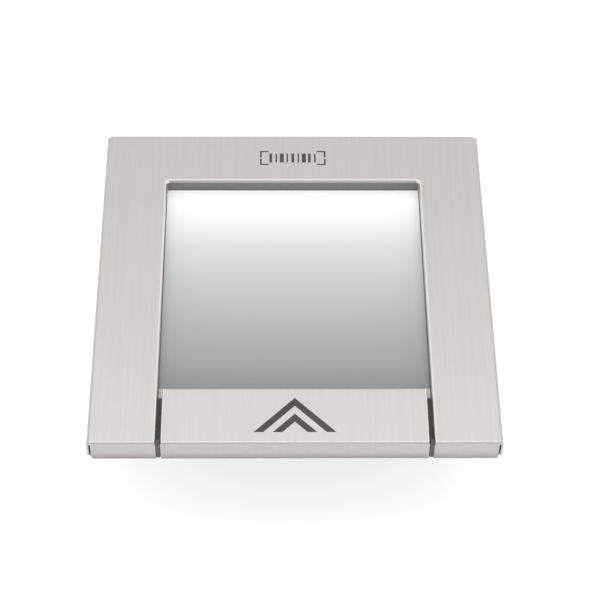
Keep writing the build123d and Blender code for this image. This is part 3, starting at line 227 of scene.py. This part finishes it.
def plastic(name, color, roughness, grain=2200.0, relief=0.00003, variation=0.15, **sockets):
    """Moulded plastic or rubber with a fine eroded texture and a faint unevenness of tone."""
    made = Shader(name, color, roughness, **sockets)
    patches = made.noise(35.0, detail=3.0)
    speckle = made.noise(grain, detail=2.0)
    darker = tuple(c * (1 - variation) for c in color)
    lighter = tuple(min(1.0, c * (1 + variation)) for c in color)
    made.color(made.blend(made.span(patches, 0.0, 1.0, 0.35, 0.65), darker, lighter))
    made.rough(speckle, roughness - 0.07, roughness + 0.07)
    made.bump(speckle, relief, 0.6)
    return made.material


def trim_plastic():
    """Dark satin lining, with painted light: paler where it stands upright in the window's opening, most
    where it faces sideways.
    """
    trim = Shader("trim_plastic", (0.08, 0.08, 0.08), 0.55)
    facing_x, facing_y = trim.facing()
    _, y, _ = trim.split(trim.coords)
    # painted light: walls facing sideways are painted much paler, and walls facing front or back a little
    # paler, than the dark base tone
    painted_light_sides = trim.span(facing_x, 0.0, 1.0, 0.4, 0.8)
    back = trim.span(facing_y, 0.0, 1.0, 0.4, 0.8)
    rib = trim.span(y, 1.0, 0.0, COVER_LOW[1] + 4 * MM, COVER_LOW[1] + 6 * MM)
    # the rib near the front lip is set a little darker than the base, without the painted light
    tone = trim.blend(painted_light_sides, (0.08, 0.08, 0.08), (0.33, 0.33, 0.33))
    tone = trim.blend(back, tone, (0.14, 0.14, 0.14))
    tone = trim.blend(rib, tone, (0.055, 0.055, 0.056))
    mottle = trim.span(trim.noise(900.0, detail=2.0), 0.9, 1.1)
    shade = trim.node("ShaderNodeVectorMath", operation="SCALE")
    trim.link(tone, shade.inputs[0])
    trim.link(mottle, shade.inputs["Scale"])
    trim.color(shade.outputs["Vector"])
    trim.bump(trim.noise(2400.0, detail=2.0), 0.00002, 0.5)
    return trim.material


def metal(name, color, roughness, grain=(900.0, 900.0, 60.0), **sockets):
    """Turned, plated or anodised metal with fine tool marks."""
    made = Shader(name, color, roughness, Metallic=1.0, **sockets)
    marks = made.noise(1.0, detail=3.0, stretch=grain)
    tone = made.noise(120.0, detail=2.0)
    made.color(made.blend(tone, tuple(c * 0.86 for c in color), tuple(min(1.0, c * 1.1) for c in color)))
    made.rough(marks, roughness - 0.08, roughness + 0.1)
    made.bump(marks, 0.00001, 0.4)
    return made.material


def plated_sheet():
    """Zinc-plated sheet with a faint spangle."""
    made = Shader("plated_steel", (0.5, 0.5, 0.51), 0.42, Metallic=1.0)
    spangle = made.cells(160.0, output="Color")
    shade = made.span(spangle, 0.0, 1.0)
    made.color(made.blend(shade, (0.42, 0.43, 0.44), (0.58, 0.58, 0.59)))
    made.rough(shade, 0.34, 0.5)
    made.bump(made.noise(900.0), 0.00001, 0.4)
    return made.material


def window_pane():
    """Hard-coated scan window with a painted reflection: its tone runs from pale at the back to grey at the
    operator's side, with a paler strip at the front edge and a faint painted glow near the back.
    """
    made = Shader("window_pane", (0.6, 0.61, 0.61), 0.12, Coat_Weight=0.6, Coat_Roughness=0.02, IOR=1.5)
    _, y, _ = made.split(made.coords)
    depth = made.span(y, 0.0, 1.0, GLASS_LOW[1], GLASS_HIGH[1])
    # painted reflection: the tone is a ramp along the window's depth, pale at the back and grey at the front
    tone = made.node("ShaderNodeValToRGB")
    tone.color_ramp.interpolation = "B_SPLINE"
    for place, level in ((0.0, 0.205), (0.5, 0.475), (0.95, 0.85)):
        stop = tone.color_ramp.elements.new(place)
        stop.color = (level * 0.995, level, level, 1.0)
    tone.color_ramp.elements.remove(tone.color_ramp.elements[-1])
    tone.color_ramp.elements.remove(tone.color_ramp.elements[0])
    made.link(depth, tone.inputs["Fac"])
    # painted reflection: a paler strip along the front edge, by the front panel
    painted_front_reflection = made.span(y, 1.0, 0.0, PANEL_BACK_Y + 4.4 * MM, PANEL_BACK_Y + 5 * MM)
    made.color(made.blend(painted_front_reflection, tone.outputs["Color"], (0.62, 0.62, 0.61)))
    # painted glow: emission rising over the back 30 per cent of the window, up to 0.26
    made.link(made.span(depth, 0.0, 0.26, 0.7, 1.0), made.shader.inputs["Emission Strength"])
    made.shader.inputs["Emission Color"].default_value = (1.0, 1.0, 1.0, 1.0)
    haze = made.noise(16.0, detail=5.0)
    wipes = made.noise(1.0, detail=3.0, stretch=(60.0, 9.0, 60.0))
    made.rough(made.math("MULTIPLY", haze, wipes), 0.08, 0.2)
    return made.material


def clear_glass(name, tint, roughness):
    """Clear glass with a trace of haze."""
    made = Shader(name, tint, roughness, Transmission_Weight=1.0, IOR=1.46)
    made.rough(made.noise(40.0, detail=4.0), roughness, roughness + 0.06)
    return made.material


def circuit_board():
    """Green solder mask over straight copper tracks."""
    made = Shader("circuit_board", (0.02, 0.16, 0.07), 0.35, Coat_Weight=0.4)
    across = made.node("ShaderNodeTexBrick")
    across.inputs["Scale"].default_value = 260.0
    across.inputs["Mortar Size"].default_value = 0.03
    across.inputs["Color1"].default_value = (0.0, 0.0, 0.0, 1.0)
    across.inputs["Color2"].default_value = (0.25, 0.25, 0.25, 1.0)
    across.inputs["Mortar"].default_value = (1.0, 1.0, 1.0, 1.0)
    made.link(made.coords, across.inputs["Vector"])
    vias = made.span(made.cells(420.0), 1.0, 0.0, 0.1, 0.16)
    tracks = made.math("MAXIMUM", across.outputs["Color"], vias)
    made.color(made.blend(tracks, (0.012, 0.11, 0.045), (0.06, 0.27, 0.12)))
    made.bump(tracks, 0.00003, 0.7)
    return made.material


def chip_case():
    """Moulded epoxy with a faint sparkle."""
    made = Shader("chip_case", (0.03, 0.03, 0.032), 0.45)
    grit = made.noise(5200.0, detail=1.0)
    made.color(made.blend(made.span(grit, 0.0, 1.0, 0.4, 0.75), (0.022, 0.022, 0.024), (0.06, 0.06, 0.062)))
    made.bump(grit, 0.00001, 0.5)
    return made.material


def label_film():
    """Blank satin film with a printed border all round."""
    made = Shader("label_film", (0.6, 0.6, 0.6), 0.4, Metallic=0.3)
    low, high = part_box("rating_label")
    edges = []
    for axis, place in enumerate(made.split(made.coords)[:2]):
        middle = (low[axis] + high[axis]) / 2
        half = (high[axis] - low[axis]) / 2
        away = made.absolute(made.math("SUBTRACT", place, middle))
        edges.append(made.span(away, 0.0, 1.0, half - 2.2 * MM, half - 2 * MM))
    border = made.math("MAXIMUM", edges[0], edges[1])
    made.color(made.blend(border, (0.62, 0.62, 0.61), (0.1, 0.1, 0.11)))
    made.bump(made.noise(1800.0), 0.00001, 0.4)
    return made.material


def cable_film():
    """Amber film over copper tracks that run the length of the flat cable."""
    made = Shader("cable_film", (0.55, 0.3, 0.05), 0.3, Coat_Weight=0.3)
    wave = made.node("ShaderNodeTexWave", wave_type="BANDS", bands_direction="X")
    wave.inputs["Scale"].default_value = 320.0
    made.link(made.coords, wave.inputs["Vector"])
    made.color(made.blend(wave.outputs["Fac"], (0.42, 0.2, 0.03), (0.75, 0.42, 0.1)))
    made.bump(wave.outputs["Fac"], 0.00004, 0.6)
    return made.material


def mirror_face():
    """Front-silvered glass with a trace of haze."""
    made = Shader("mirror_face", (0.9, 0.9, 0.91), 0.02, Metallic=1.0)
    made.rough(made.noise(30.0, detail=4.0), 0.01, 0.06)
    return made.material


def glowing(name, color, strength):
    """Clear tinted plastic with a faint light inside."""
    made = Shader(name, color, 0.25, Coat_Weight=0.5)
    made.shader.inputs["Emission Color"].default_value = (*color, 1.0)
    made.shader.inputs["Emission Strength"].default_value = strength
    made.rough(made.noise(600.0), 0.18, 0.34)
    return made.material


MATERIALS = {
    "stainless": brushed_steel(),
    "etched_mark": plastic("etched_mark", (0.05, 0.049, 0.042), 0.7, grain=3000.0, variation=0.2),
    "black_plastic": plastic("black_plastic", (0.025, 0.025, 0.027), 0.5),
    "trim_plastic": trim_plastic(),
    "window_pane": window_pane(),
    "dust_pane": clear_glass("dust_pane", (0.86, 0.92, 0.92), 0.02),
    "seal_rubber": plastic("seal_rubber", (0.13, 0.13, 0.13), 0.72, grain=1400.0, relief=0.00006),
    "housing_plastic": plastic("housing_plastic", (0.05, 0.052, 0.056), 0.55, grain=1600.0, relief=0.00005),
    "plated_steel": plated_sheet(),
    "fixings": metal("fixings", (0.62, 0.62, 0.63), 0.3),
    "bushing_brass": metal("bushing_brass", (0.72, 0.52, 0.22), 0.3),
    "foot_rubber": plastic("foot_rubber", (0.026, 0.026, 0.028), 0.7, grain=1200.0, relief=0.00008),
    "label_film": label_film(),
    "circuit_board": circuit_board(),
    "chip_case": chip_case(),
    "sink_metal": metal("sink_metal", (0.45, 0.46, 0.48), 0.38, grain=(60.0, 900.0, 900.0)),
    "port_plastic": plastic("port_plastic", (0.028, 0.028, 0.03), 0.32, grain=2600.0, relief=0.00001),
    "button_plastic": plastic("button_plastic", (0.33, 0.34, 0.35), 0.5),
    "lamp_plastic": glowing("lamp_plastic", (0.12, 0.6, 0.2), 0.4),
    "barrel_metal": metal("barrel_metal", (0.05, 0.05, 0.055), 0.4, grain=(900.0, 60.0, 900.0)),
    "lens_pane": clear_glass("lens_pane", (0.7, 0.75, 0.95), 0.01),
    "cable_film": cable_film(),
    "mirror_face": mirror_face(),
    "lamp_chip": plastic("lamp_chip", (0.8, 0.72, 0.3), 0.35, grain=3000.0, relief=0.00001),
    "diffuser_plastic": plastic("diffuser_plastic", (0.8, 0.81, 0.81), 0.5, grain=1500.0),
}
for row in frame["record"]["subparts"]:
    target = NODES[row["node"]]
    target.data.materials.clear()
    target.data.materials.append(MATERIALS[row["material_slot"]])


# ------------------------------------------------------------------ mesh helpers
def make_piece(name, built, body, slot):
    """Turns a bmesh into a piece that rides on a body, with the finish of a material slot."""
    mesh = bpy.data.meshes.new(name)
    bmesh.ops.remove_doubles(built, verts=built.verts, dist=1e-7)
    bmesh.ops.recalc_face_normals(built, faces=built.faces)
    built.to_mesh(mesh)
    built.free()
    mesh.materials.append(MATERIALS[slot])
    made = bpy.data.objects.new(name, mesh)
    bpy.context.scene.collection.objects.link(made)
    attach(made, body)
    return made


def add_block(built, low, high, bevel):
    """Block between two corners with every edge bevelled."""
    block = bmesh.new()
    bmesh.ops.create_cube(block, size=1.0)
    for vertex in block.verts:
        for axis in range(3):
            middle = (low[axis] + high[axis]) / 2
            vertex.co[axis] = middle + vertex.co[axis] * (high[axis] - low[axis])
    bmesh.ops.bevel(block, geom=block.edges[:], offset=bevel, segments=2, affect="EDGES", profile=0.5)
    join(built, block)


def join(built, extra):
    """Adds the mesh of one bmesh to another."""
    mesh = bpy.data.meshes.new("joined")
    extra.to_mesh(mesh)
    extra.free()
    built.from_mesh(mesh)
    bpy.data.meshes.remove(mesh)


def skin(built, rows):
    """Faces between each ring of vertices and the next."""
    for first, second in zip(rows, rows[1:]):
        for i in range(len(first)):
            j = (i + 1) % len(first)
            built.faces.new((first[i], first[j], second[j], second[i]))


def add_tube(built, rings):
    """Closed skin through rings of points, with a cap on each end ring."""
    rows = [[built.verts.new(point) for point in ring] for ring in rings]
    skin(built, rows)
    built.faces.new(rows[0])
    built.faces.new(reversed(rows[-1]))


def round_outline(width, height, radius, steps=6):
    """Corner-rounded rectangle about the origin as a list of (across, up)."""
    points = []
    for turn, (side, top) in enumerate(((1, 1), (-1, 1), (-1, -1), (1, -1))):
        for i in range(steps + 1):
            angle = math.pi / 2 * (turn + i / steps)
            across = side * (width / 2 - radius) + radius * math.cos(angle)
            points.append((across, top * (height / 2 - radius) + radius * math.sin(angle)))
    return points


def islands(node):
    """Box of every separate solid of a CAD node."""
    source = bmesh.new()
    source.from_mesh(NODES[node].data)
    bmesh.ops.remove_doubles(source, verts=source.verts, dist=1e-6)
    left = set(source.verts)
    boxes = []
    while left:
        group = [left.pop()]
        for vertex in group:
            for edge in vertex.link_edges:
                other = edge.other_vert(vertex)
                if other in left:
                    left.remove(other)
                    group.append(other)
        low = [min(vertex.co[axis] for vertex in group) for axis in range(3)]
        high = [max(vertex.co[axis] for vertex in group) for axis in range(3)]
        boxes.append((low, high))
    source.free()
    return sorted(boxes)


# ------------------------------------------------------------------ detail on the main board
LEAD_REACH = 0.9 * MM  # how far each chip lead stands out
LEAD_PITCH = 0.8 * MM
LEAD_HALF = 0.16 * MM  # half its width
LEAD_THICK = 0.14 * MM


def add_lead(built, x, start, side, shoulder, board):
    """Flat lead that leaves a chip at shoulder height, bends down and ends on the board."""
    path = (
        (start, shoulder),
        (start + side * 0.3 * MM, shoulder),
        (start + side * 0.45 * MM, board + LEAD_THICK / 2),
        (start + side * LEAD_REACH, board + LEAD_THICK / 2),
    )
    rise = LEAD_THICK / 2
    corners = ((-LEAD_HALF, -rise), (LEAD_HALF, -rise), (LEAD_HALF, rise), (-LEAD_HALF, rise))
    add_tube(built, [[(x + across, y, z + up) for across, up in corners] for y, z in path])


def chip_leads():
    """Bent leads down two sides of every chip on the main board."""
    leads = bmesh.new()
    for low, high in islands("board_chips"):
        shoulder = low[2] + 0.55 * (high[2] - low[2])
        count = int((high[0] - low[0] - 1.2 * MM) / LEAD_PITCH)
        for i in range(count + 1):
            x = (low[0] + high[0]) / 2 + (i - count / 2) * LEAD_PITCH
            for side, start in ((-1, low[1]), (1, high[1])):
                add_lead(leads, x, start, side, shoulder, low[2])
    make_piece("chip_leads", leads, "housing", "fixings")


PART_LENGTH, PART_WIDTH, PART_HEIGHT = 1.6 * MM, 0.8 * MM, 0.5 * MM  # of each small part
PART_COLUMNS, PART_ROWS = 3.4 * MM, 2.9 * MM  # from one to the next
PART_CLEAR = 1.7 * MM  # from its middle to anything that stands on the board
NUDGE = 0.05  # keeps a place half way between two whole millimetres from rounding either way
CAP_HALF = 0.16 * MM  # half the length of each plated end
STANDING = ("board_chips", "board_screws", "capacitors", "beeper", "host_port", "data_port", "power_port")
STANDING += ("push_switches", "status_lamp", "cable_socket", "camera_cable", "heat_sink")


def is_free(x, y, taken):
    """True where a place is clear of every box on the board."""
    for low, high in taken:
        across = low[0] - PART_CLEAR < x < high[0] + PART_CLEAR
        along = low[1] - PART_CLEAR < y < high[1] + PART_CLEAR
        if across and along:
            return False
    return True


def free_spots():
    """Places in staggered rows on the main board that nothing stands on, with a gap here and there."""
    taken = [place for node in STANDING for place in islands(node)]
    spots = []
    row = 0
    y = BOARD_LOW[1] + 3 * MM
    while y < BOARD_HIGH[1] - 16 * MM:
        x = BOARD_LOW[0] + (5.0 + 1.7 * (row % 3)) * MM
        while x < BOARD_HIGH[0] - 4 * MM:
            left_out = (row * 7 + round(x / MM - NUDGE)) % 4 == 0
            if is_free(x, y, taken) and not left_out:
                spots.append((x, y))
            x += PART_COLUMNS
        y += PART_ROWS
        row += 1
    return spots


def small_parts():
    """Small ceramic parts with plated ends, wherever the main board is free."""
    cases = bmesh.new()
    ends = bmesh.new()
    low = BOARD_HIGH[2]
    high = low + PART_HEIGHT
    inset = 0.02 * MM  # the case is that much smaller than its ends
    for x, y in free_spots():
        case_x = PART_LENGTH / 2 - 0.25 * MM
        case_y = PART_WIDTH / 2 - inset
        add_block(cases, (x - case_x, y - case_y, low), (x + case_x, y + case_y, high - inset), 0.04 * MM)
        for side in (-1, 1):
            middle = x + side * (PART_LENGTH / 2 - 0.12 * MM)
            end_low = (middle - CAP_HALF, y - PART_WIDTH / 2, low)
            end_high = (middle + CAP_HALF, y + PART_WIDTH / 2, high)
            add_block(ends, end_low, end_high, 0.05 * MM)
    make_piece("small_parts", cases, "housing", "chip_case")
    make_piece("small_part_ends", ends, "housing", "fixings")


# ------------------------------------------------------------------ detail on the camera
def lens_glass():
    """Front and back lens with domed faces, in place of the flat discs."""
    lenses = bmesh.new()
    around = [2 * math.pi * i / 40 for i in range(40)]
    pole = 0.02  # share of the radius at which the rings of a face start
    shares = [i / 8 for i in range(9)]
    for low, high in islands("lens_elements"):
        radius = (high[0] - low[0]) / 2
        center_z = (low[2] + high[2]) / 2
        sag = 0.24 * (high[1] - low[1])
        profile = [(radius * (pole + (1 - pole) * share), low[1] + sag * share**2) for share in shares]
        profile += [(radius * (1 - (1 - pole) * share), high[1] - sag * (1 - share) ** 2) for share in shares]
        rings = []
        for spread, y in profile:
            rings.append([(spread * math.cos(a), y, center_z + spread * math.sin(a)) for a in around])
        add_tube(lenses, rings)
    lens = make_piece("lens_glass", lenses, "housing", "lens_pane")
    for polygon in lens.data.polygons:
        polygon.use_smooth = True
    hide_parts("lens_elements")


def barrel_grip():
    """Fine ridges round the front of the lens barrel, for turning it to focus."""
    grip = bmesh.new()
    low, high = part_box("lens_barrel")
    center_z = (low[2] + high[2]) / 2
    radius = (high[2] - low[2]) / 2
    foot = radius - 0.02 * MM
    ridges = 48
    for i in range(ridges):
        angle = 2 * math.pi * i / ridges
        rings = []
        for y, height in ((0.5, 0.05), (0.8, 0.25), (3.2, 0.25), (3.5, 0.05)):
            ring = []
            for spread, rise in ((-0.3, 0.0), (-0.12, height), (0.12, height), (0.3, 0.0)):
                turned = angle + spread * MM / radius
                away = foot + rise * MM
                ring.append((away * math.cos(turned), low[1] + y * MM, center_z + away * math.sin(turned)))
            rings.append(ring)
        add_tube(grip, rings)
    make_piece("barrel_grip", grip, "housing", "barrel_metal")


# ------------------------------------------------------------------ detail on the housing
def section_box(node, height):
    """Lowest and highest corner of a CAD node's section at a height."""
    section = bmesh.new()
    section.from_mesh(NODES[node].data)
    everything = section.verts[:] + section.edges[:] + section.faces[:]
    cut = bmesh.ops.bisect_plane(section, geom=everything, plane_co=(0, 0, height), plane_no=(0, 0, 1))
    points = [item.co.copy() for item in cut["geom_cut"] if isinstance(item, bmesh.types.BMVert)]
    section.free()
    low = [min(point[axis] for point in points) for axis in range(2)]
    high = [max(point[axis] for point in points) for axis in range(2)]
    return low, high


def parting_line():
    """Thin bead round the housing where its mould closed."""
    height = TUB_LOW[2] + 0.72 * (TUB_HIGH[2] - TUB_LOW[2])
    low, high = section_box("lower_tub", height)
    rows = []
    for out, up in ((-0.3, -0.25), (0.14, -0.1), (0.14, 0.1), (-0.3, 0.25)):
        width = high[0] - low[0] + 2 * out * MM
        depth = high[1] - low[1] + 2 * out * MM
        outline = round_outline(width, depth, TUB_CORNER + out * MM, steps=16)
        middle = (low[1] + high[1]) / 2
        rows.append([(x, middle + y, height + up * MM) for x, y in outline])
    bead = bmesh.new()
    rings = [[bead.verts.new(point) for point in row] for row in rows]
    skin(bead, rings + rings[:1])
    make_piece("parting_line", bead, "housing", "housing_plastic")


def add_collar(built, x, z, inner, outer):
    """Raised collar on the back wall between two outlines that have the same number of points."""
    top = BACK_WALL + COLLAR_RISE
    foot = BACK_WALL - COLLAR_EASE
    eased = [(across * COLLAR_TAPER, up * COLLAR_TAPER) for across, up in outer]
    rows = ((outer, foot), (outer, top - COLLAR_EASE), (eased, top), (inner, top), (inner, foot))
    rings = [[built.verts.new((x + across, y, z + up)) for across, up in outline] for outline, y in rows]
    skin(built, rings + rings[:1])


def wall_collars():
    """Moulded collar round every port, button and lamp in the back wall."""
    collars = bmesh.new()
    for node in ("host_port", "data_port", "power_port"):
        low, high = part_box(node)
        width = high[0] - low[0]
        height = high[2] - low[2]
        inner = round_outline(width, height, 0.3 * MM)
        outer = round_outline(width + 2.4 * MM, height + 2.4 * MM, 1.5 * MM)
        add_collar(collars, (low[0] + high[0]) / 2, (low[2] + high[2]) / 2, inner, outer)
    for node, hole in (("volume_button", 3.95), ("tone_button", 3.95), ("status_lamp", 2.55)):
        low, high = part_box(node)
        rim = (hole + 0.9) * MM
        inner = round_outline(2 * hole * MM, 2 * hole * MM, hole * MM, steps=12)
        outer = round_outline(2 * rim, 2 * rim, rim, steps=12)
        add_collar(collars, (low[0] + high[0]) / 2, BUTTON_Z, inner, outer)
    make_piece("wall_collars", collars, "housing", "housing_plastic")


def arc(x, z, radius, start, end, width, steps=8):
    """Outline of a band of an arc, in degrees."""
    angles = [math.radians(start + (end - start) * i / steps) for i in range(steps + 1)]
    outer = radius + width / 2
    inner = radius - width / 2
    outside = [(x + outer * math.cos(a), z + outer * math.sin(a)) for a in angles]
    inside = [(x + inner * math.cos(a), z + inner * math.sin(a)) for a in angles]
    return outside + inside[::-1]


def disc(x, z, radius, steps=24):
    """Outline of a filled circle."""
    angles = [2 * math.pi * i / steps for i in range(steps)]
    return [(x + radius * math.cos(a), z + radius * math.sin(a)) for a in angles]


def bar(x, z, width, height):
    """Outline of an upright bar about a middle."""
    left, right = x - width / 2, x + width / 2
    low, high = z - height / 2, z + height / 2
    return [(left, low), (right, low), (right, high), (left, high)]


def sign_outlines():
    """Outlines in millimetres of the sign over each port, button and lamp, by CAD node."""
    plug = [bar(0, -0.4, 2.8, 1.6), bar(0, -1.7, 0.5, 1.0)]
    plug += [bar(side * 0.8, 0.9, 0.4, 1.0) for side in (-1, 1)]
    arrows = [bar(0, 0.7, 2.6, 0.35), bar(0, -0.7, 2.6, 0.35)]
    arrows += [[(1.3, 0.0), (2.3, 0.7), (1.3, 1.4)], [(-1.3, -1.4), (-2.3, -0.7), (-1.3, 0.0)]]
    polarity = [arc(0, 0, 1.3, 40, 320, 0.35, steps=20), disc(0, 0, 0.575), bar(2.6, 0, 1.1, 0.35)]
    speaker = [(-2.0, -0.6), (-1.2, -0.6), (-0.2, -1.5), (-0.2, 1.5), (-1.2, 0.6), (-2.0, 0.6)]
    loudness = [speaker] + [arc(-0.2, 0, radius, -50, 50, 0.35) for radius in (1.1, 1.9)]
    flag = [(0.42, 1.65), (1.6, 0.9), (1.6, 0.3), (0.42, 1.05)]
    note = [disc(-0.5, -1.2, 0.65), bar(0.25, 0.2, 0.35, 2.9), flag]
    rays = [math.radians(60 * i) for i in range(6)]
    light = [disc(0, 0, 1.05)] + [bar(1.5 * math.cos(a), 1.5 * math.sin(a), 0.4, 0.4) for a in rays]
    return {
        "host_port": plug,
        "data_port": arrows,
        "power_port": polarity,
        "volume_button": loudness,
        "tone_button": note,
        "status_lamp": light,
    }


def wall_signs():
    """Wordless raised signs over the ports, the buttons and the lamp."""
    signs = bmesh.new()
    for node, outlines in sign_outlines().items():
        low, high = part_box(node)
        middle = (low[0] + high[0]) / 2
        for outline in outlines:
            # the wall is read from behind, so across runs the other way
            points = [(middle - across * MM, SIGN_Z + up * MM) for across, up in outline]
            add_tube(signs, [[(x, BACK_WALL + y * MM, z) for x, z in points] for y in (-0.1, 0.12)])
    make_piece("wall_signs", signs, "housing", "diffuser_plastic")


chip_leads()
small_parts()
lens_glass()
barrel_grip()
parting_line()
wall_collars()
wall_signs()


# ------------------------------------------------------------------ stage, light and camera
def floor():
    """Plain white floor that runs far past the frame."""
    mesh = bpy.data.meshes.new("studio_floor")
    reach = 6.0
    corners = [(-reach, -reach, 0), (reach, -reach, 0), (reach, reach, 0), (-reach, reach, 0)]
    mesh.from_pydata(corners, [], [(0, 1, 2, 3)])
    made = bpy.data.objects.new("studio_floor", mesh)
    bpy.context.scene.collection.objects.link(made)
    paint = Shader("floor_paint", (0.5, 0.5, 0.5), 0.9, Emission_Strength=0.61)
    paint.shader.inputs["Emission Color"].default_value = (1.0, 1.0, 1.0, 1.0)
    paint.color(paint.blend(paint.noise(3.0), (0.49, 0.49, 0.49), (0.51, 0.51, 0.51)))
    mesh.materials.append(paint.material)


def sky():
    """White surround, a little brighter overhead than at the horizon."""
    world = bpy.data.worlds.new("studio")
    bpy.context.scene.world = world
    world.use_nodes = True
    nodes = world.node_tree.nodes
    links = world.node_tree.links
    back = nodes["Background"]
    place = nodes.new("ShaderNodeTexCoord")
    split = nodes.new("ShaderNodeSeparateXYZ")
    ramp = nodes.new("ShaderNodeValToRGB")
    links.new(place.outputs["Generated"], split.inputs["Vector"])
    links.new(split.outputs["Z"], ramp.inputs["Fac"])
    links.new(ramp.outputs["Color"], back.inputs["Color"])
    stops = ((0.0, 1.0), (0.4, 0.95), (0.6, 0.82), (0.76, 0.9), (0.86, 1.15), (1.0, 1.3))
    elements = ramp.color_ramp.elements
    while len(elements) < len(stops):
        elements.new(0.5)
    for element, (place_at, level) in zip(elements, stops):
        element.position = place_at
        element.color = (level, level, level, 1.0)
    back.inputs["Strength"].default_value = 1.0


def lamp(name, place, aim, size, watts, mirrored=True):
    """Square soft light, which shiny faces can be kept from mirroring."""
    data = bpy.data.lights.new(name, "AREA")
    data.size = size
    data.energy = watts
    made = bpy.data.objects.new(name, data)
    made.visible_glossy = mirrored
    made.location = place
    made.rotation_euler = (Vector(aim) - Vector(place)).to_track_quat("-Z", "Y").to_euler()
    bpy.context.scene.collection.objects.link(made)


def camera():
    """Camera at the height and side from which the scanner is seen, with a slight roll."""
    rise = math.radians(CAMERA_ELEVATION)
    turn = math.radians(CAMERA_TURN)
    roll = math.radians(CAMERA_ROLL)
    back = Vector((math.sin(turn) * math.cos(rise), -math.cos(turn) * math.cos(rise), math.sin(rise)))
    right = (-back).cross(Vector((0, 0, 1))).normalized()
    up = right.cross(-back)
    tilted_right = math.cos(roll) * right + math.sin(roll) * up
    tilted_up = -math.sin(roll) * right + math.cos(roll) * up
    data = bpy.data.cameras.new("camera")
    data.lens = LENS_MM
    data.sensor_width = 36.0
    made = bpy.data.objects.new("camera", data)
    axes = Matrix((tilted_right, tilted_up, back)).transposed()
    made.matrix_world = Matrix.Translation(CAMERA_AIM + back * CAMERA_DISTANCE) @ axes.to_4x4()
    bpy.context.scene.collection.objects.link(made)
    bpy.context.scene.camera = made


floor()
sky()
lamp("overhead_softbox", (0.0, 0.3, 1.9), (0.0, 0.0, 0.0), 1.5, 4.0)
lamp("front_softbox", (0.0, -1.3, 0.45), (0.0, -0.1, 0.0), 0.7, 7.0, mirrored=False)
camera()
bpy.context.scene.view_settings.view_transform = "Standard"
